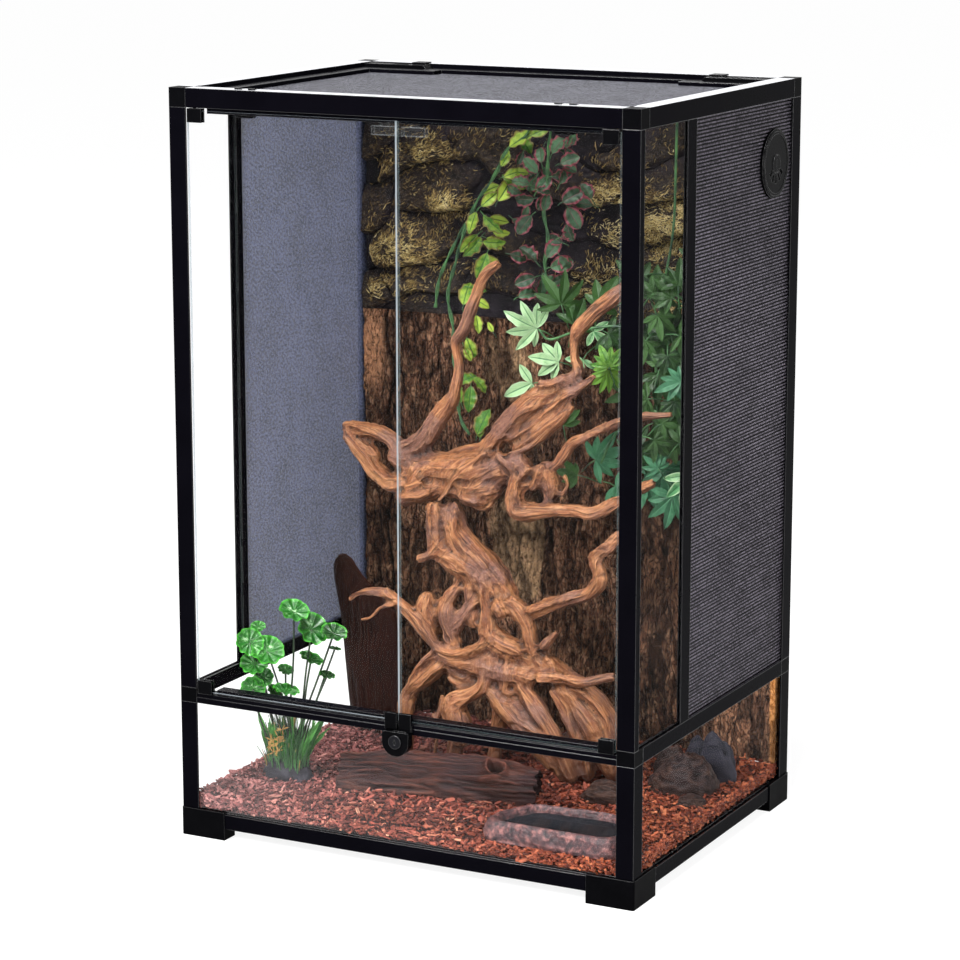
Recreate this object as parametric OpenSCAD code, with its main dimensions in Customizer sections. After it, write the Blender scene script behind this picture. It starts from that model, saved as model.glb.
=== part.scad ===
// Tall glass terrarium: knock-down black frame, two swinging glass doors, mesh sides and lid,
// furnished with a bark background, driftwood, plants, bark chips and a water dish.
// Millimetres. The doors face -Y and +Z is up. The origin is on the ground, under the middle of the
// whole outline, which the lock in front moves a little forward of the middle of the frame.

/* [Overall] */
// Width over the feet
overall_w = 600; // [560:5:680]
// Depth over the feet
overall_d = 465; // [430:5:520]
// Height from the ground to the top of the rails
overall_h = 900; // [840:5:960]

/* [Feet] */
// Length of each leg of a corner foot
foot_len = 60; // [52:1:68]
// Height of a corner foot
foot_h = 34.4; // [34:0.2:40]
// Width of each leg of a corner foot
foot_leg = 24; // [23.4:0.2:28]
// How far the feet stand proud of the frame
foot_proud = 1.5; // [1:0.25:3]
// How far the bottom rails stand above the ground
foot_lift = 14; // [10:1:16]

/* [Rails] */
// Thickness of the outer flange of every rail and bracket
flange = 2; // [1.6:0.1:2.4]
// Height of the bottom rails
bottom_h = 18; // [17:0.5:20]
// Depth of the bottom rails and of the front middle rail
bottom_d = 20; // [19:0.5:21]
// Height of the underside of the middle rails
mid_z = 167; // [150:1:190]
// Height of the middle rails at the sides
mid_h = 18; // [17:0.5:20]
// Height of the middle rail's face below the doors
sill_h = 12; // [11:0.5:13]
// Height of the top rails
top_h = 22.5; // [21.5:0.5:26]
// Width of the top rails
top_d = 22; // [21.5:0.5:24]
// Width of the ledge that carries the lid
ledge_w = 8; // [6:0.5:10]
// Thickness of the ledge that carries the lid
ledge_t = 3; // [2:0.5:3.5]
// Depth of the ledge below the rail's top
ledge_drop = 12.5; // [12:0.5:14]

/* [Posts] */
// Width of the posts' front leg
post_w = 22; // [20:0.5:24]
// Depth of the lower posts' side leg
post_low_d = 23; // [21:0.5:24]
// Depth of the upper front posts' side leg
post_up_d = 11; // [10:0.5:14]
// Depth of the rear posts' side leg
post_rear_d = 25; // [22:0.5:28]
// Wall of the post angles
post_t = 2; // [1.6:0.1:2.1]
// Width of the divider between side glass and side mesh
mullion_w = 24; // [18:1:30]
// Distance from the frame's front to the middle of that divider
mullion_y = 139; // [120:1:160]

/* [Glass and mesh] */
// Thickness of the wall glass and the doors
glass_t = 4; // [3.6:0.1:4.2]
// Thickness of the floor glass
floor_t = 5; // [4:0.5:6]
// Clearance of a pane in its groove
glass_gap = 0.2; // [0.15:0.05:0.3]
// Thickness of the mesh
mesh_t = 1.2; // [0.8:0.1:1.6]
// Width of a bar of the mesh
mesh_bar = 3; // [2:0.5:5]

/* [Doors] */
// Gap between the two doors
door_split = 3; // [2:0.5:4]
// Gap under and over the doors' glass
door_gap = 3; // [2.5:0.25:3.5]
// Distance from the post to the hinge axis
hinge_in = 10.2; // [9.9:0.1:12]
// Depth of the hinge axis behind the frame's front
hinge_back = 4; // [3.8:0.1:4.4]
// Radius of the hinge pins
pin_r = 2; // [1.5:0.1:2.2]
// Length of the hinge pins
pin_len = 6; // [5:0.5:6]
// Running clearance of pins, barrel and shutter
run_gap = 0.05; // [0.02:0.01:0.1]
// Length of a hinge clip along the door
clip_len = 19; // [16:1:22]

/* [Lock] */
// Width of the lock
lock_w = 34.4; // [33:0.2:38]
// Depth of the lock in front of the frame
lock_d = 11; // [10.6:0.2:14]
// Radius of the key barrel
barrel_r = 8; // [7:0.25:9]
// How far the key barrel stands proud of the lock
barrel_lip = 1.5; // [1:0.25:2]
// How far the lock reaches above the underside of the middle rail
lock_rise = 4.2; // [3:0.2:5]

/* [Lid] */
// Width of the lid's frame
lid_bar = 19; // [14:1:22]
// Thickness of the lid's frame
lid_t = 7; // [5:0.5:7]
// Clearance round the lid
lid_gap = 0.75; // [0.5:0.05:1]
// Distance of each lid latch from the middle
latch_x = 203; // [180:1:220]
// Travel of a lid latch
latch_travel = 6; // [5:0.5:7]
// Length of a cable inlet
inlet_len = 90; // [84:1:100]
// Depth of a cable inlet
inlet_d = 21.5; // [20:0.5:24]

/* [Port] */
// Radius of the round port
port_r = 41; // [36:1:44]
// Distance from the frame's back to the middle of the port
port_back = 76; // [75:1:95]
// Distance from the frame's top to the middle of the port
port_down = 96; // [90:1:120]
// Number of vent slots in the port
port_slots = 5; // [3:1:7]

/* [Furnishing] */
// Depth of the bark chips on the floor
soil_h = 18; // [12:1:26]
// Height of the seam between bark and rock background
seam_z = 583; // [560:1:600]
// Gap between furnishing and the glass or rails
fit_gap = 0.3; // [0.2:0.05:0.4]

/* [Hidden] */
$fn = 48;
eps = 0.01;
set_back = (lock_d + barrel_lip - foot_proud) / 2;
seat = 0.1;
big = 2000;
hx = overall_w / 2 - foot_proud;
hy = overall_d / 2 - foot_proud;
slot_w = glass_t + 2 * glass_gap;
slot_out = flange + slot_w;
pane_in = flange + glass_gap;
pane_back = pane_in + glass_t;
pane_end = pane_back + fit_gap;
bottom_top = foot_lift + bottom_h;
glass_seat = foot_lift + 8;
groove = 7;
low_top = mid_z + groove;
front_groove = 5;
mid_top = mid_z + mid_h;
sill_z = mid_z + sill_h;
slim_d = slot_out + 2.6;
top_z = overall_h - top_h;
pane_top = top_z + groove;
ledge_z = overall_h - ledge_drop;
post_x = hx - post_w;
inner_x = hx - top_d;
inner_y = hy - top_d;
mull_y = mullion_y - hy;
web_t = 4;
door_z0 = sill_z + door_gap;
door_z1 = top_z - door_gap - 0.5;
pin_x = post_x - hinge_in;
pin_y = hinge_back - hy;
door_out = pin_x + 8;
clip_wall = 2;
clip_h = 16;
shelf_x = pin_x - clip_len + 3;
lock_r = lock_w / 2;
lock_top = mid_z + lock_rise;
lock_z = lock_top - 12;
cam_len = lock_r - 0.8;
cam_t = 2.6;
leaf_y = -hy - 4.6;
leaf_t = 2.4;
cam_y = leaf_y - 1 - cam_t;
lid_x = inner_x - lid_gap;
lid_y = inner_y - lid_gap;
lid_z = ledge_z;
notch_x = inlet_len + lid_gap;
notch_y = inlet_d + lid_gap;
grip_d = 10;
stem_t = 4;
tongue_t = 3.2;
inlet_top = overall_h - 1;
plate_len = 25;
plate_w = 13.5;
plate_t = 1.8;
cable_len = 21;
cable_w = 10;
port_y = hy - port_back;
port_z = overall_h - port_down;
mesh_in = flange + slot_w / 2 - mesh_t / 2;
floor_z = bottom_top;
floor_in = slot_out + 6;
right_x = hx - pane_back;
front_y = pane_back - hy;
soil_top = floor_z + soil_h;
bed_z = soil_top + seat;
wall_x = hx - slim_d - fit_gap;
rear_y = hy - pane_back - fit_gap;
rock_top = top_z - 9.5;
neck_z = soil_top + 342;

black = [0.04, 0.04, 0.05];
clear = [0.75, 0.88, 0.86, 0.35];
grey_mesh = [0.28, 0.28, 0.31];
wood = [0.66, 0.42, 0.26];
bark = [0.33, 0.24, 0.18];
leaf_green = [0.22, 0.55, 0.2];

// Placing helpers

// Moves a piece from the middle of the frame to the middle of the whole outline
module placed() {
    translate([0, set_back, 0]) children();
}

// Extrudes a profile of depth and height along one side of the frame
module along(side, len) {
    if (side == "front")
        translate([-len / 2, -hy, 0]) rotate([90, 0, 90]) linear_extrude(len) children();
    if (side == "rear")
        mirror([0, 1, 0]) along("front", len) children();
    if (side == "left")
        translate([-hx, len / 2, 0]) rotate([90, 0, 0]) linear_extrude(len) children();
    if (side == "right")
        mirror([1, 0, 0]) along("left", len) children();
}

// Puts a piece modelled at the left on the named side
module on_side(side) {
    if (side == "left")
        children();
    else
        mirror([1, 0, 0]) children();
}

// Puts a piece modelled at the front left corner on each named corner
module at_corner(side, end) {
    if (end == "front")
        on_side(side) children();
    else
        mirror([0, 1, 0]) on_side(side) children();
}

module both_sides() {
    for (side = ["left", "right"])
        on_side(side) children();
}

// A box between two corners
module span(a, b) {
    translate(a) cube(b - a);
}

// A plain angle at the front left corner, with a leg along X and one along Y
module angle(leg_x, leg_y, wall, z0, z1) {
    difference() {
        span([-hx, -hy, z0], [-hx + leg_x, -hy + leg_y, z1]);
        span([-hx + wall, -hy + wall, z0 - 1], [hx, hy, z1 + 1]);
    }
}

// Panes, each with an optional growth that cuts its own groove

module pane_front_low(g = 0) {
    span([-hx + pane_in + 0.1 - g, -hy + pane_in - g, glass_seat + glass_gap - g],
         [hx - pane_in - 0.1 + g, -hy + pane_back + g, mid_z + front_groove - glass_gap + g]);
}

module pane_rear(g = 0) {
    span([-hx + pane_in + 0.1 - g, hy - pane_back - g, glass_seat + glass_gap - g],
         [hx - pane_in - 0.1 + g, hy - pane_in + g, pane_top - glass_gap + g]);
}

module pane_side_low(g = 0) {
    span([-hx + pane_in - g, -hy + pane_end - g, glass_seat + glass_gap - g],
         [-hx + pane_back + g, hy - pane_end + g, low_top - glass_gap + g]);
}

module pane_side_up(g = 0) {
    span([-hx + pane_in - g, -hy + pane_end - g, mid_top - groove + glass_gap - g],
         [-hx + pane_back + g, mull_y - web_t / 2 - glass_gap + g, pane_top - glass_gap + g]);
}

module mesh_field(g = 0) {
    span([-hx + mesh_in - g, mull_y + web_t / 2 + glass_gap - g, mid_top - groove + glass_gap - g],
         [-hx + mesh_in + mesh_t + g, hy - pane_end + g, pane_top - glass_gap + g]);
}

// Everything that a bracket or foot leaves free for the panes
module glazing() {
    pane_front_low(glass_gap);
    pane_rear(glass_gap);
    both_sides() {
        pane_side_low(glass_gap);
        pane_side_up(glass_gap);
        mesh_field(glass_gap + mesh_in - flange - glass_gap);
    }
}

// Feet and bottom frame

channel_lip = 1.5;
channel_h = 4.5;

module bottom_profile(g = 0) {
    translate([-g, foot_lift - g]) square([bottom_d + 2 * g, bottom_h + 2 * g]);
}

module bottom_section() {
    difference() {
        bottom_profile();
        translate([flange, glass_seat]) square([slot_w, bottom_h]);
        translate([floor_in, bottom_top - floor_t]) square([bottom_d, floor_t + 1]);
        translate([flange, foot_lift + channel_lip]) square([bottom_d - flange - channel_lip, channel_h]);
    }
}

foot_round = 3;
foot_reach = foot_len - foot_proud;
socket = 20;
socket_gap = 0.15;
rail_x = 2 * (hx - foot_reach + socket - fit_gap);
rail_y = 2 * (hy - foot_reach + socket - fit_gap);

module foot() {
    color(black)
    difference() {
        translate([-hx - foot_proud, -hy - foot_proud, 0])
            linear_extrude(foot_h)
                union() {
                    translate([foot_round, 0]) square([foot_len - foot_round, foot_leg]);
                    translate([0, foot_round]) square([foot_leg, foot_len - foot_round]);
                    translate([foot_round, foot_round]) circle(foot_round);
                }
        along("front", rail_x + 2 * fit_gap) bottom_profile(socket_gap);
        along("left", rail_y + 2 * fit_gap) bottom_profile(socket_gap);
        glazing();
        span([-hx + floor_in, -hy + floor_in, floor_z - floor_t - glass_gap], [0, 0, foot_h + 1]);
        span([-hx + pane_back, -hy + pane_back, floor_z - seat], [0, 0, foot_h + 1]);
    }
}

module bottom_rail(side, len) {
    color(black) along(side, len) bottom_section();
}

module bottom_rails_side() {
    both_sides() bottom_rail("left", rail_y);
}

module floor_glass() {
    x = hx - floor_in - fit_gap;
    y = hy - floor_in - fit_gap;
    color(clear) span([-x, -y, floor_z - floor_t], [x, y, floor_z]);
}

// Posts and corner brackets

module lower_posts() {
    color(black)
    both_sides() {
        angle(post_w, post_low_d, post_t, foot_h, mid_z);
        mirror([0, 1, 0]) angle(post_w, post_rear_d, post_t, foot_h, mid_z);
    }
}

module mid_block(leg_y, depth) {
    difference() {
        span([-hx, -hy, mid_z], [-hx + post_w, -hy + leg_y, mid_top]);
        span([-hx + slim_d, -hy + depth, mid_z - 1], [0, 0, mid_top + 1]);
    }
}

module mid_corners() {
    color(black)
    both_sides()
        difference() {
            union() {
                mid_block(post_low_d, bottom_d);
                mirror([0, 1, 0]) mid_block(post_rear_d, flange);
            }
            glazing();
        }
}

module upper_posts_front() {
    color(black) both_sides() angle(post_w, post_up_d, post_t, mid_top, top_z);
}

module upper_posts_rear() {
    color(black) both_sides() mirror([0, 1, 0]) angle(post_w, post_rear_d, post_t, mid_top, top_z);
}

fillet_r = 12;
web_z = ledge_z + 0.5;

// Rounded inner corner of a front bracket, let into the rails beside it, with a growth that cuts its seat
module corner_web(g = 0) {
    translate([-inner_x, -inner_y, web_z - g])
        linear_extrude(overall_h - web_z + 2 * g)
            difference() {
                translate([-flange - g, -flange - g]) square(fillet_r + flange + 2 * g);
                translate([fillet_r, fillet_r]) circle(fillet_r);
            }
}

module top_corners() {
    color(black)
    both_sides()
        difference() {
            union() {
                span([-hx, -hy, top_z], [-inner_x, -inner_y, overall_h]);
                corner_web();
                mirror([0, 1, 0]) span([-hx, -hy, top_z], [-inner_x, -inner_y, overall_h]);
            }
            glazing();
        }
}

// Middle rails

// Sill with a shadow line along its face and a shelf behind the doors
step_h = 7;
step_t = 0.8;
shelf_in = 5;

module mid_rail_front() {
    color(black)
    difference() {
        union() {
            along("front", 2 * post_x)
                difference() {
                    translate([0, mid_z]) square([bottom_d, sill_h]);
                    translate([flange, mid_z - 1]) square([slot_w, front_groove + 1]);
                    translate([-1, mid_z + step_h]) square([1 + step_t, sill_h]);
                }
            along("front", 2 * shelf_x)
                translate([shelf_in, mid_z]) square([bottom_d - shelf_in, mid_h]);
        }
        pane_front_low(glass_gap);
        both_sides()
            translate([-pin_x, pin_y, sill_z - pin_len])
                cylinder(h = pin_len + 1, r = pin_r + run_gap);
    }
}

module mid_rails_side() {
    color(black)
    for (side = ["left", "right"])
        difference() {
            along(side, 2 * hy - post_low_d - post_rear_d)
                difference() {
                    translate([0, mid_z]) square([slim_d, mid_h]);
                    translate([flange, mid_z - 1]) square([slot_w, groove + 1]);
                    translate([flange, mid_top - groove]) square([slot_w, groove + 1]);
                }
            span([-big, -big, 0], [big, -hy + post_low_d, overall_h]);
            span([-big, hy - post_rear_d, 0], [big, big, overall_h]);
        }
}

// Top rails

rail_wall = 2;
rebate_t = 2;
rebate_h = 6.5;

module top_section(grooved) {
    difference() {
        translate([0, top_z]) square([top_d, top_h]);
        if (grooved)
            translate([flange, top_z - 1]) square([slot_w, groove + 1]);
        translate([slot_out + 1.6, top_z + rail_wall])
            square([top_d - slot_out - 1.6 - rail_wall, top_h - 2 * rail_wall]);
    }
}

module ledge(side, len) {
    along(side, len)
        translate([top_d - eps, ledge_z - ledge_t]) square([ledge_w + eps, ledge_t]);
}

latch_half = 13.5;
latch_gap = 0.3;
tab_x = 9;
tab_w = 8;

// Space that a lid latch sweeps inside the front rail, at the left
module latch_room() {
    half = latch_half + latch_gap;
    tab = tab_w + 2 * latch_gap;
    translate([-latch_x - half, -hy + grip_d - latch_gap, top_z - 1])
        cube([2 * half, top_d - grip_d + latch_gap + seat, top_h - 0.4]);
    for (dx = [-tab_x, tab_x])
        translate([-latch_x + dx - tab / 2, -hy + grip_d - seat, top_z])
            cube([tab, stem_t + latch_travel + 2 * latch_gap - 0.2, top_h + 1]);
}

module top_rail_front() {
    color(black)
    difference() {
        union() {
            along("front", 2 * inner_x) top_section(false);
            along("front", 2 * shelf_x)
                translate([shelf_in, top_z - rebate_h]) square([rebate_t, rebate_h + eps]);
            ledge("front", 2 * inner_x - 2 * seat);
        }
        both_sides() {
            latch_room();
            corner_web(seat);
            translate([-pin_x, pin_y, top_z - 1]) cylinder(h = pin_len + 1.5, r = pin_r + run_gap);
        }
    }
}

module top_rail_rear() {
    color(black)
    difference() {
        along("rear", 2 * inner_x) top_section(true);
        pane_rear(glass_gap);
    }
    color(black) ledge("rear", 2 * inner_x - 2 * seat);
}

module top_rails_side() {
    color(black)
    both_sides() {
        difference() {
            along("left", 2 * inner_y) top_section(true);
            corner_web(seat);
        }
        ledge("left", 2 * (inner_y - ledge_w - seat));
    }
}

// Glass and mesh

module side_mesh() {
    y0 = mull_y + web_t / 2 + glass_gap;
    y1 = hy - pane_end;
    z0 = mid_top - groove + glass_gap;
    z1 = pane_top - glass_gap;
    cols = 7;
    rows = 14;
    step_y = (y1 - y0 - mesh_bar) / cols;
    step_z = (z1 - z0 - mesh_bar) / rows;
    translate([-hx + mesh_in, 0, 0]) rotate([90, 0, 90]) linear_extrude(mesh_t)
        difference() {
            translate([y0, z0]) square([y1 - y0, z1 - z0]);
            for (i = [0 : cols - 1], j = [0 : rows - 1])
                translate([y0 + mesh_bar + i * step_y, z0 + mesh_bar + j * step_z])
                    square([step_y - mesh_bar, step_z - mesh_bar]);
        }
}

module port_washer() {
    translate([-hx + mesh_in, port_y, port_z]) rotate([0, 90, 0]) cylinder(h = mesh_t, r = port_r - 2);
}

tube_r = 27;

module mesh_right() {
    color(grey_mesh)
    mirror([1, 0, 0])
        difference() {
            union() {
                side_mesh();
                port_washer();
            }
            translate([-hx - 10, port_y, port_z]) rotate([0, 90, 0]) cylinder(h = 40, r = tube_r + fit_gap);
        }
}

module mullions() {
    face = -hx + fit_gap;
    cap_x = -hx + slot_out + 0.1;
    cap_t = 1.3;
    cap_half = 6;
    half = mullion_w / 2;
    color(black)
    both_sides()
        difference() {
            union() {
                span([face, mull_y - half, mid_top], [-hx + flange, mull_y + half, top_z]);
                span([-hx + flange - eps, mull_y - web_t / 2, mid_top],
                     [cap_x + seat, mull_y + web_t / 2, top_z]);
                span([cap_x, mull_y - cap_half, mid_top], [cap_x + cap_t, mull_y + cap_half, top_z]);
            }
            pane_side_up(glass_gap);
        }
}

// Doors, modelled at the left

module door_pane(g = 0) {
    span([-door_out, -hy - g, door_z0 - g], [-door_split / 2, -hy + glass_t + g, door_z1 + g]);
}

clip_back = 7;
clip_clear = 0.8;

module hinge_clip(z0, z1, pin_z0, pin_z1) {
    x0 = -pin_x - clip_back;
    difference() {
        span([x0, -hy - clip_wall, z0], [x0 + clip_len, -hy + glass_t + clip_wall, z1]);
        door_pane();
    }
    translate([-pin_x, pin_y, pin_z0]) cylinder(h = pin_z1 - pin_z0, r = pin_r);
}

module hinge_clips() {
    low = sill_z + clip_clear;
    high = top_z - clip_clear;
    color(black) {
        hinge_clip(low, low + clip_h, sill_z - pin_len + 0.3, low + 1);
        hinge_clip(high - clip_h, high, high - 1, top_z + pin_len - 0.2);
    }
}

// Plate clamped over the foot of a door, with a leaf that hangs in front of the sill down to the lock
module catch_plate() {
    plate_x = 15.5;
    clamp_h = 9.5;
    x0 = -door_split / 2 - plate_x;
    clamp_z = door_z0 + 0.5;
    color(black) {
        span([x0, leaf_y, lock_top + clip_clear], [-door_split / 2, leaf_y + leaf_t, clamp_z + 2]);
        span([x0, leaf_y, clamp_z], [-door_split / 2, -hy, clamp_z + clamp_h]);
    }
}

// Clear stop: a pad behind the door on a stem under the top rail
module door_stops() {
    pad = [4, 34];
    stem = [14, 24];
    y0 = -hy + glass_t + 0.5;
    y1 = -hy + 11;
    pad_z = top_z - 20.5;
    pad_h = 10;
    color(clear)
    both_sides() {
        span([-pad[1], y0, pad_z], [-pad[0], y1, pad_z + pad_h]);
        span([-stem[1], -hy + shelf_in + rebate_t + 0.2, pad_z + pad_h - 0.5], [-stem[0], y1, top_z]);
    }
}

// Lock

lock_back = 1.6;
cam_half = 4;
key_t = 1.4;
key_h = 6;
key_r = 1.6;

module y_rod(r, y0, y1, z) {
    translate([0, y0, z]) rotate([-90, 0, 0]) cylinder(h = y1 - y0, r = r);
}

module lock_outline() {
    intersection() {
        circle(lock_r);
        translate([-lock_r, -lock_r]) square([2 * lock_r, lock_r]);
    }
    translate([-lock_r, 0]) square([2 * lock_r, lock_top - lock_z]);
}

module lock_body() {
    front = -hy - lock_d;
    play = 0.2;
    cut_y0 = cam_y - play;
    cut_y1 = cam_y + cam_t + play;
    cam_room = cam_half + 1;
    color(black)
    difference() {
        union() {
            translate([0, -hy - play, lock_z]) rotate([90, 0, 0])
                linear_extrude(lock_d - play)
                    lock_outline();
            span([-lock_r, -hy - lock_back, mid_z], [lock_r, -hy, sill_z - 1]);
        }
        y_rod(barrel_r + run_gap, front - 1, cut_y1, lock_z);
        intersection() {
            y_rod(cam_len + fit_gap, cut_y0, cut_y1, lock_z);
            span([-cam_room, cut_y0, lock_z - cam_room], [lock_r, cut_y1, lock_top + 1]);
        }
        span([-cam_room, cut_y0, lock_z], [cam_room, cut_y1, lock_top + 1]);
    }
}

module lock_barrel() {
    front = -hy - lock_d;
    color([0.2, 0.2, 0.22])
    difference() {
        union() {
            y_rod(barrel_r, front - barrel_lip, cam_y + cam_t, lock_z);
            intersection() {
                y_rod(cam_len, cam_y, cam_y + cam_t, lock_z);
                span([0, cam_y, lock_z - cam_half], [lock_r, cam_y + cam_t, lock_z + cam_half]);
            }
        }
        span([-key_t / 2, front - 2, lock_z - key_h / 2], [key_t / 2, front + 1, lock_z + key_h / 2]);
        y_rod(key_r, front - 2, front + 1, lock_z);
    }
}

// Lid and its latches

function lid_outline(i) = [
    [-lid_x + i, -lid_y + i],
    [lid_x - i, -lid_y + i],
    [lid_x - i, lid_y - notch_y - i],
    [lid_x - notch_x - i, lid_y - notch_y - i],
    [lid_x - notch_x - i, lid_y - i],
    [-lid_x + notch_x + i, lid_y - i],
    [-lid_x + notch_x + i, lid_y - notch_y - i],
    [-lid_x + i, lid_y - notch_y - i]
];

module lid_frame() {
    r = fillet_r + 1;
    color(black)
    translate([0, 0, lid_z])
        linear_extrude(lid_t)
            difference() {
                polygon(lid_outline(0));
                polygon(lid_outline(lid_bar));
                both_sides()
                    translate([-lid_x, -lid_y])
                        difference() {
                            translate([-1, -1]) square(r + 1);
                            translate([r, r]) circle(r);
                        }
            }
}

module lid_mesh() {
    cols = 12;
    rows = 8;
    x = lid_x - lid_bar - seat;
    y0 = -lid_y + lid_bar + seat;
    y1 = lid_y - notch_y - lid_bar - seat;
    step_x = (2 * x - mesh_bar) / cols;
    step_y = (y1 - y0 - mesh_bar) / rows;
    color(grey_mesh)
    translate([0, 0, lid_z + 1])
        linear_extrude(mesh_t)
            difference() {
                polygon(lid_outline(lid_bar + seat));
                for (i = [0 : cols - 1], j = [0 : rows - 1])
                    translate([-x + mesh_bar + i * step_x, y0 + mesh_bar + j * step_y])
                        square([step_x - mesh_bar, step_y - mesh_bar]);
            }
}

module lid_latch() {
    w = latch_half;
    grip_r = 4;
    grip_z = top_z - 6;
    tab_proud = 1.4;
    y0 = -hy + grip_d;
    tongue_z = lid_z + lid_t + 0.4;
    color(black)
    translate([-latch_x, 0, 0]) {
        span([-w, y0, top_z - grip_r], [w, y0 + stem_t, tongue_z + tongue_t]);
        span([-w, y0, tongue_z], [w, -hy + top_d - 0.2, tongue_z + tongue_t]);
        translate([0, y0, 0]) rotate([-90, 0, 0])
            linear_extrude(stem_t + 1)
                mirror([0, 1]) {
                    translate([-w, grip_z]) square([2 * w, top_z - 0.6 - grip_z]);
                    translate([-w + grip_r, grip_z - grip_r]) square([2 * w - 2 * grip_r, grip_r + 1]);
                    for (dx = [-w + grip_r, w - grip_r])
                        translate([dx, grip_z]) circle(grip_r);
                }
        for (dx = [-tab_x, tab_x])
            translate([dx - tab_w / 2, y0 + 0.2, tongue_z])
                cube([tab_w, stem_t - 0.4, overall_h + tab_proud - tongue_z]);
    }
}

// Closable cable inlets in the rear corners, modelled at the left

inlet_wall = 3;
inlet_bevel = 5;
slide_in = 1.4;
slide_gap = 0.3;
slide_travel = 22;
slide_end = 4;
tab_len = 18;
tab_z0 = overall_h + 0.3;
tab_z1 = overall_h + 1.8;

module cable_housing() {
    x0 = -inner_x + 0.2;
    x1 = -inner_x + inlet_len;
    y0 = inner_y - inlet_d;
    y1 = inner_y - seat;
    cable_x = x1 - 5.5 - cable_len;
    recess_x = x1 - slide_end - plate_len - slide_travel - 0.4;
    recess_y = y0 + slide_in;
    color([0.12, 0.12, 0.13])
    difference() {
        translate([0, y0, 0]) rotate([90, 0, 0]) mirror([0, 0, 1])
            linear_extrude(y1 - y0)
                polygon([
                    [x0, ledge_z + seat],
                    [x1, ledge_z + seat],
                    [x1, inlet_top - inlet_bevel],
                    [x1 - inlet_bevel, inlet_top],
                    [x0, inlet_top]
                ]);
        span([cable_x, y0 + inlet_wall, ledge_z - 1],
             [cable_x + cable_len, y0 + inlet_wall + cable_w, overall_h]);
        span([recess_x, recess_y, inlet_top - plate_t - 0.2],
             [x1 - slide_end + 0.4, recess_y + plate_w + 2 * slide_gap, overall_h]);
    }
}

module cable_slide() {
    x1 = -inner_x + inlet_len - slide_end;
    y0 = inner_y - inlet_d + slide_in + slide_gap;
    z1 = inlet_top - seat;
    tab_x1 = x1 - 3;
    tab_y0 = y0 + plate_w / 2;
    color([0.12, 0.12, 0.13]) {
        span([x1 - plate_len, y0, z1 - plate_t], [x1, y0 + plate_w, z1]);
        span([tab_x1 - tab_len, tab_y0, z1 - eps], [tab_x1, y0 + plate_w, tab_z1]);
        span([tab_x1 - tab_len, tab_y0, tab_z0], [tab_x1, inner_y + 5, tab_z1]);
    }
}

// Round port in the right mesh, modelled along +X from the mesh's plane

port_x = hx - mesh_in;
slot_pitch = 28;
slot_wide = 14;
slot_r0 = 13.5;
slot_r1 = 23.5;

// Wedge-shaped vent slots below the axis
module fan(x, h) {
    translate([x, port_y, port_z]) rotate([90, 0, 90])
        linear_extrude(h)
            difference() {
                intersection() {
                    circle(slot_r1);
                    for (i = [0 : port_slots - 1])
                        rotate((i - (port_slots - 1) / 2) * slot_pitch)
                            polygon([
                                [0, 0],
                                [-slot_r1 * 1.2 * sin(slot_wide / 2), -slot_r1 * 1.2 * cos(slot_wide / 2)],
                                [slot_r1 * 1.2 * sin(slot_wide / 2), -slot_r1 * 1.2 * cos(slot_wide / 2)]
                            ]);
                }
                circle(slot_r0);
            }
}

module x_rod(r, x0, x1) {
    translate([x0, port_y, port_z]) rotate([0, 90, 0]) cylinder(h = x1 - x0, r = r);
}

ring_t = 3;
rim_step = 3;
rim_proud = 4.4;
well_r = port_r - 6;
well_x = port_x + 1.6;
tube_wall = 2;
axle_r = 4;
hub_r = 11;
knob_w = 4;
knob_len = 20;
knob_h = 2;

// Flange outside the mesh, tube through it and clamping ring inside it
module port_ring() {
    color(black)
    difference() {
        union() {
            x_rod(port_r, port_x + seat, port_x + ring_t);
            x_rod(port_r - rim_step, port_x + ring_t - 1, port_x + rim_proud);
            x_rod(tube_r, port_x - mesh_t - ring_t - 0.8, port_x + 1);
            x_rod(port_r, port_x - mesh_t - ring_t, port_x - mesh_t - seat);
        }
        x_rod(tube_r - tube_wall, port_x - 6, port_x - 1);
        x_rod(well_r, well_x, port_x + 5);
        fan(port_x - 4, 10);
        x_rod(axle_r + run_gap, port_x - 2, port_x + 5);
    }
}

// Disc with the same slots, which closes the vent when it is turned by its knob
module port_shutter() {
    disc_x = well_x + 0.2;
    color([0.08, 0.08, 0.09])
    difference() {
        union() {
            x_rod(well_r - 0.4, disc_x, disc_x + 2);
            x_rod(hub_r, port_x + 3, disc_x + 3);
            x_rod(axle_r, port_x - 0.9, port_x + 3);
            translate([port_x + 3, port_y - knob_w / 2, port_z - knob_len / 2])
                cube([knob_h, knob_w, knob_len]);
        }
        fan(port_x, 10);
    }
}

// Furnishing

// A slab standing in the XZ plane, with its relief towards -Y given by a function
function rock_relief(x, z) =
    30 + 5 * sin(z * 3.1 + 22 * sin(x * 0.9)) + 4 * sin(x * 1.7 + z * 0.8) + 3 * sin(x * 4.1 - z * 2.3);
function bark_relief(x, z) =
    25 + 3 * sin(x * 4.6 + 12 * sin(z * 0.5)) + 3 * sin(x * 1.1 + 40) + 2 * sin(z * 1.3 + x * 0.7);

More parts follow.
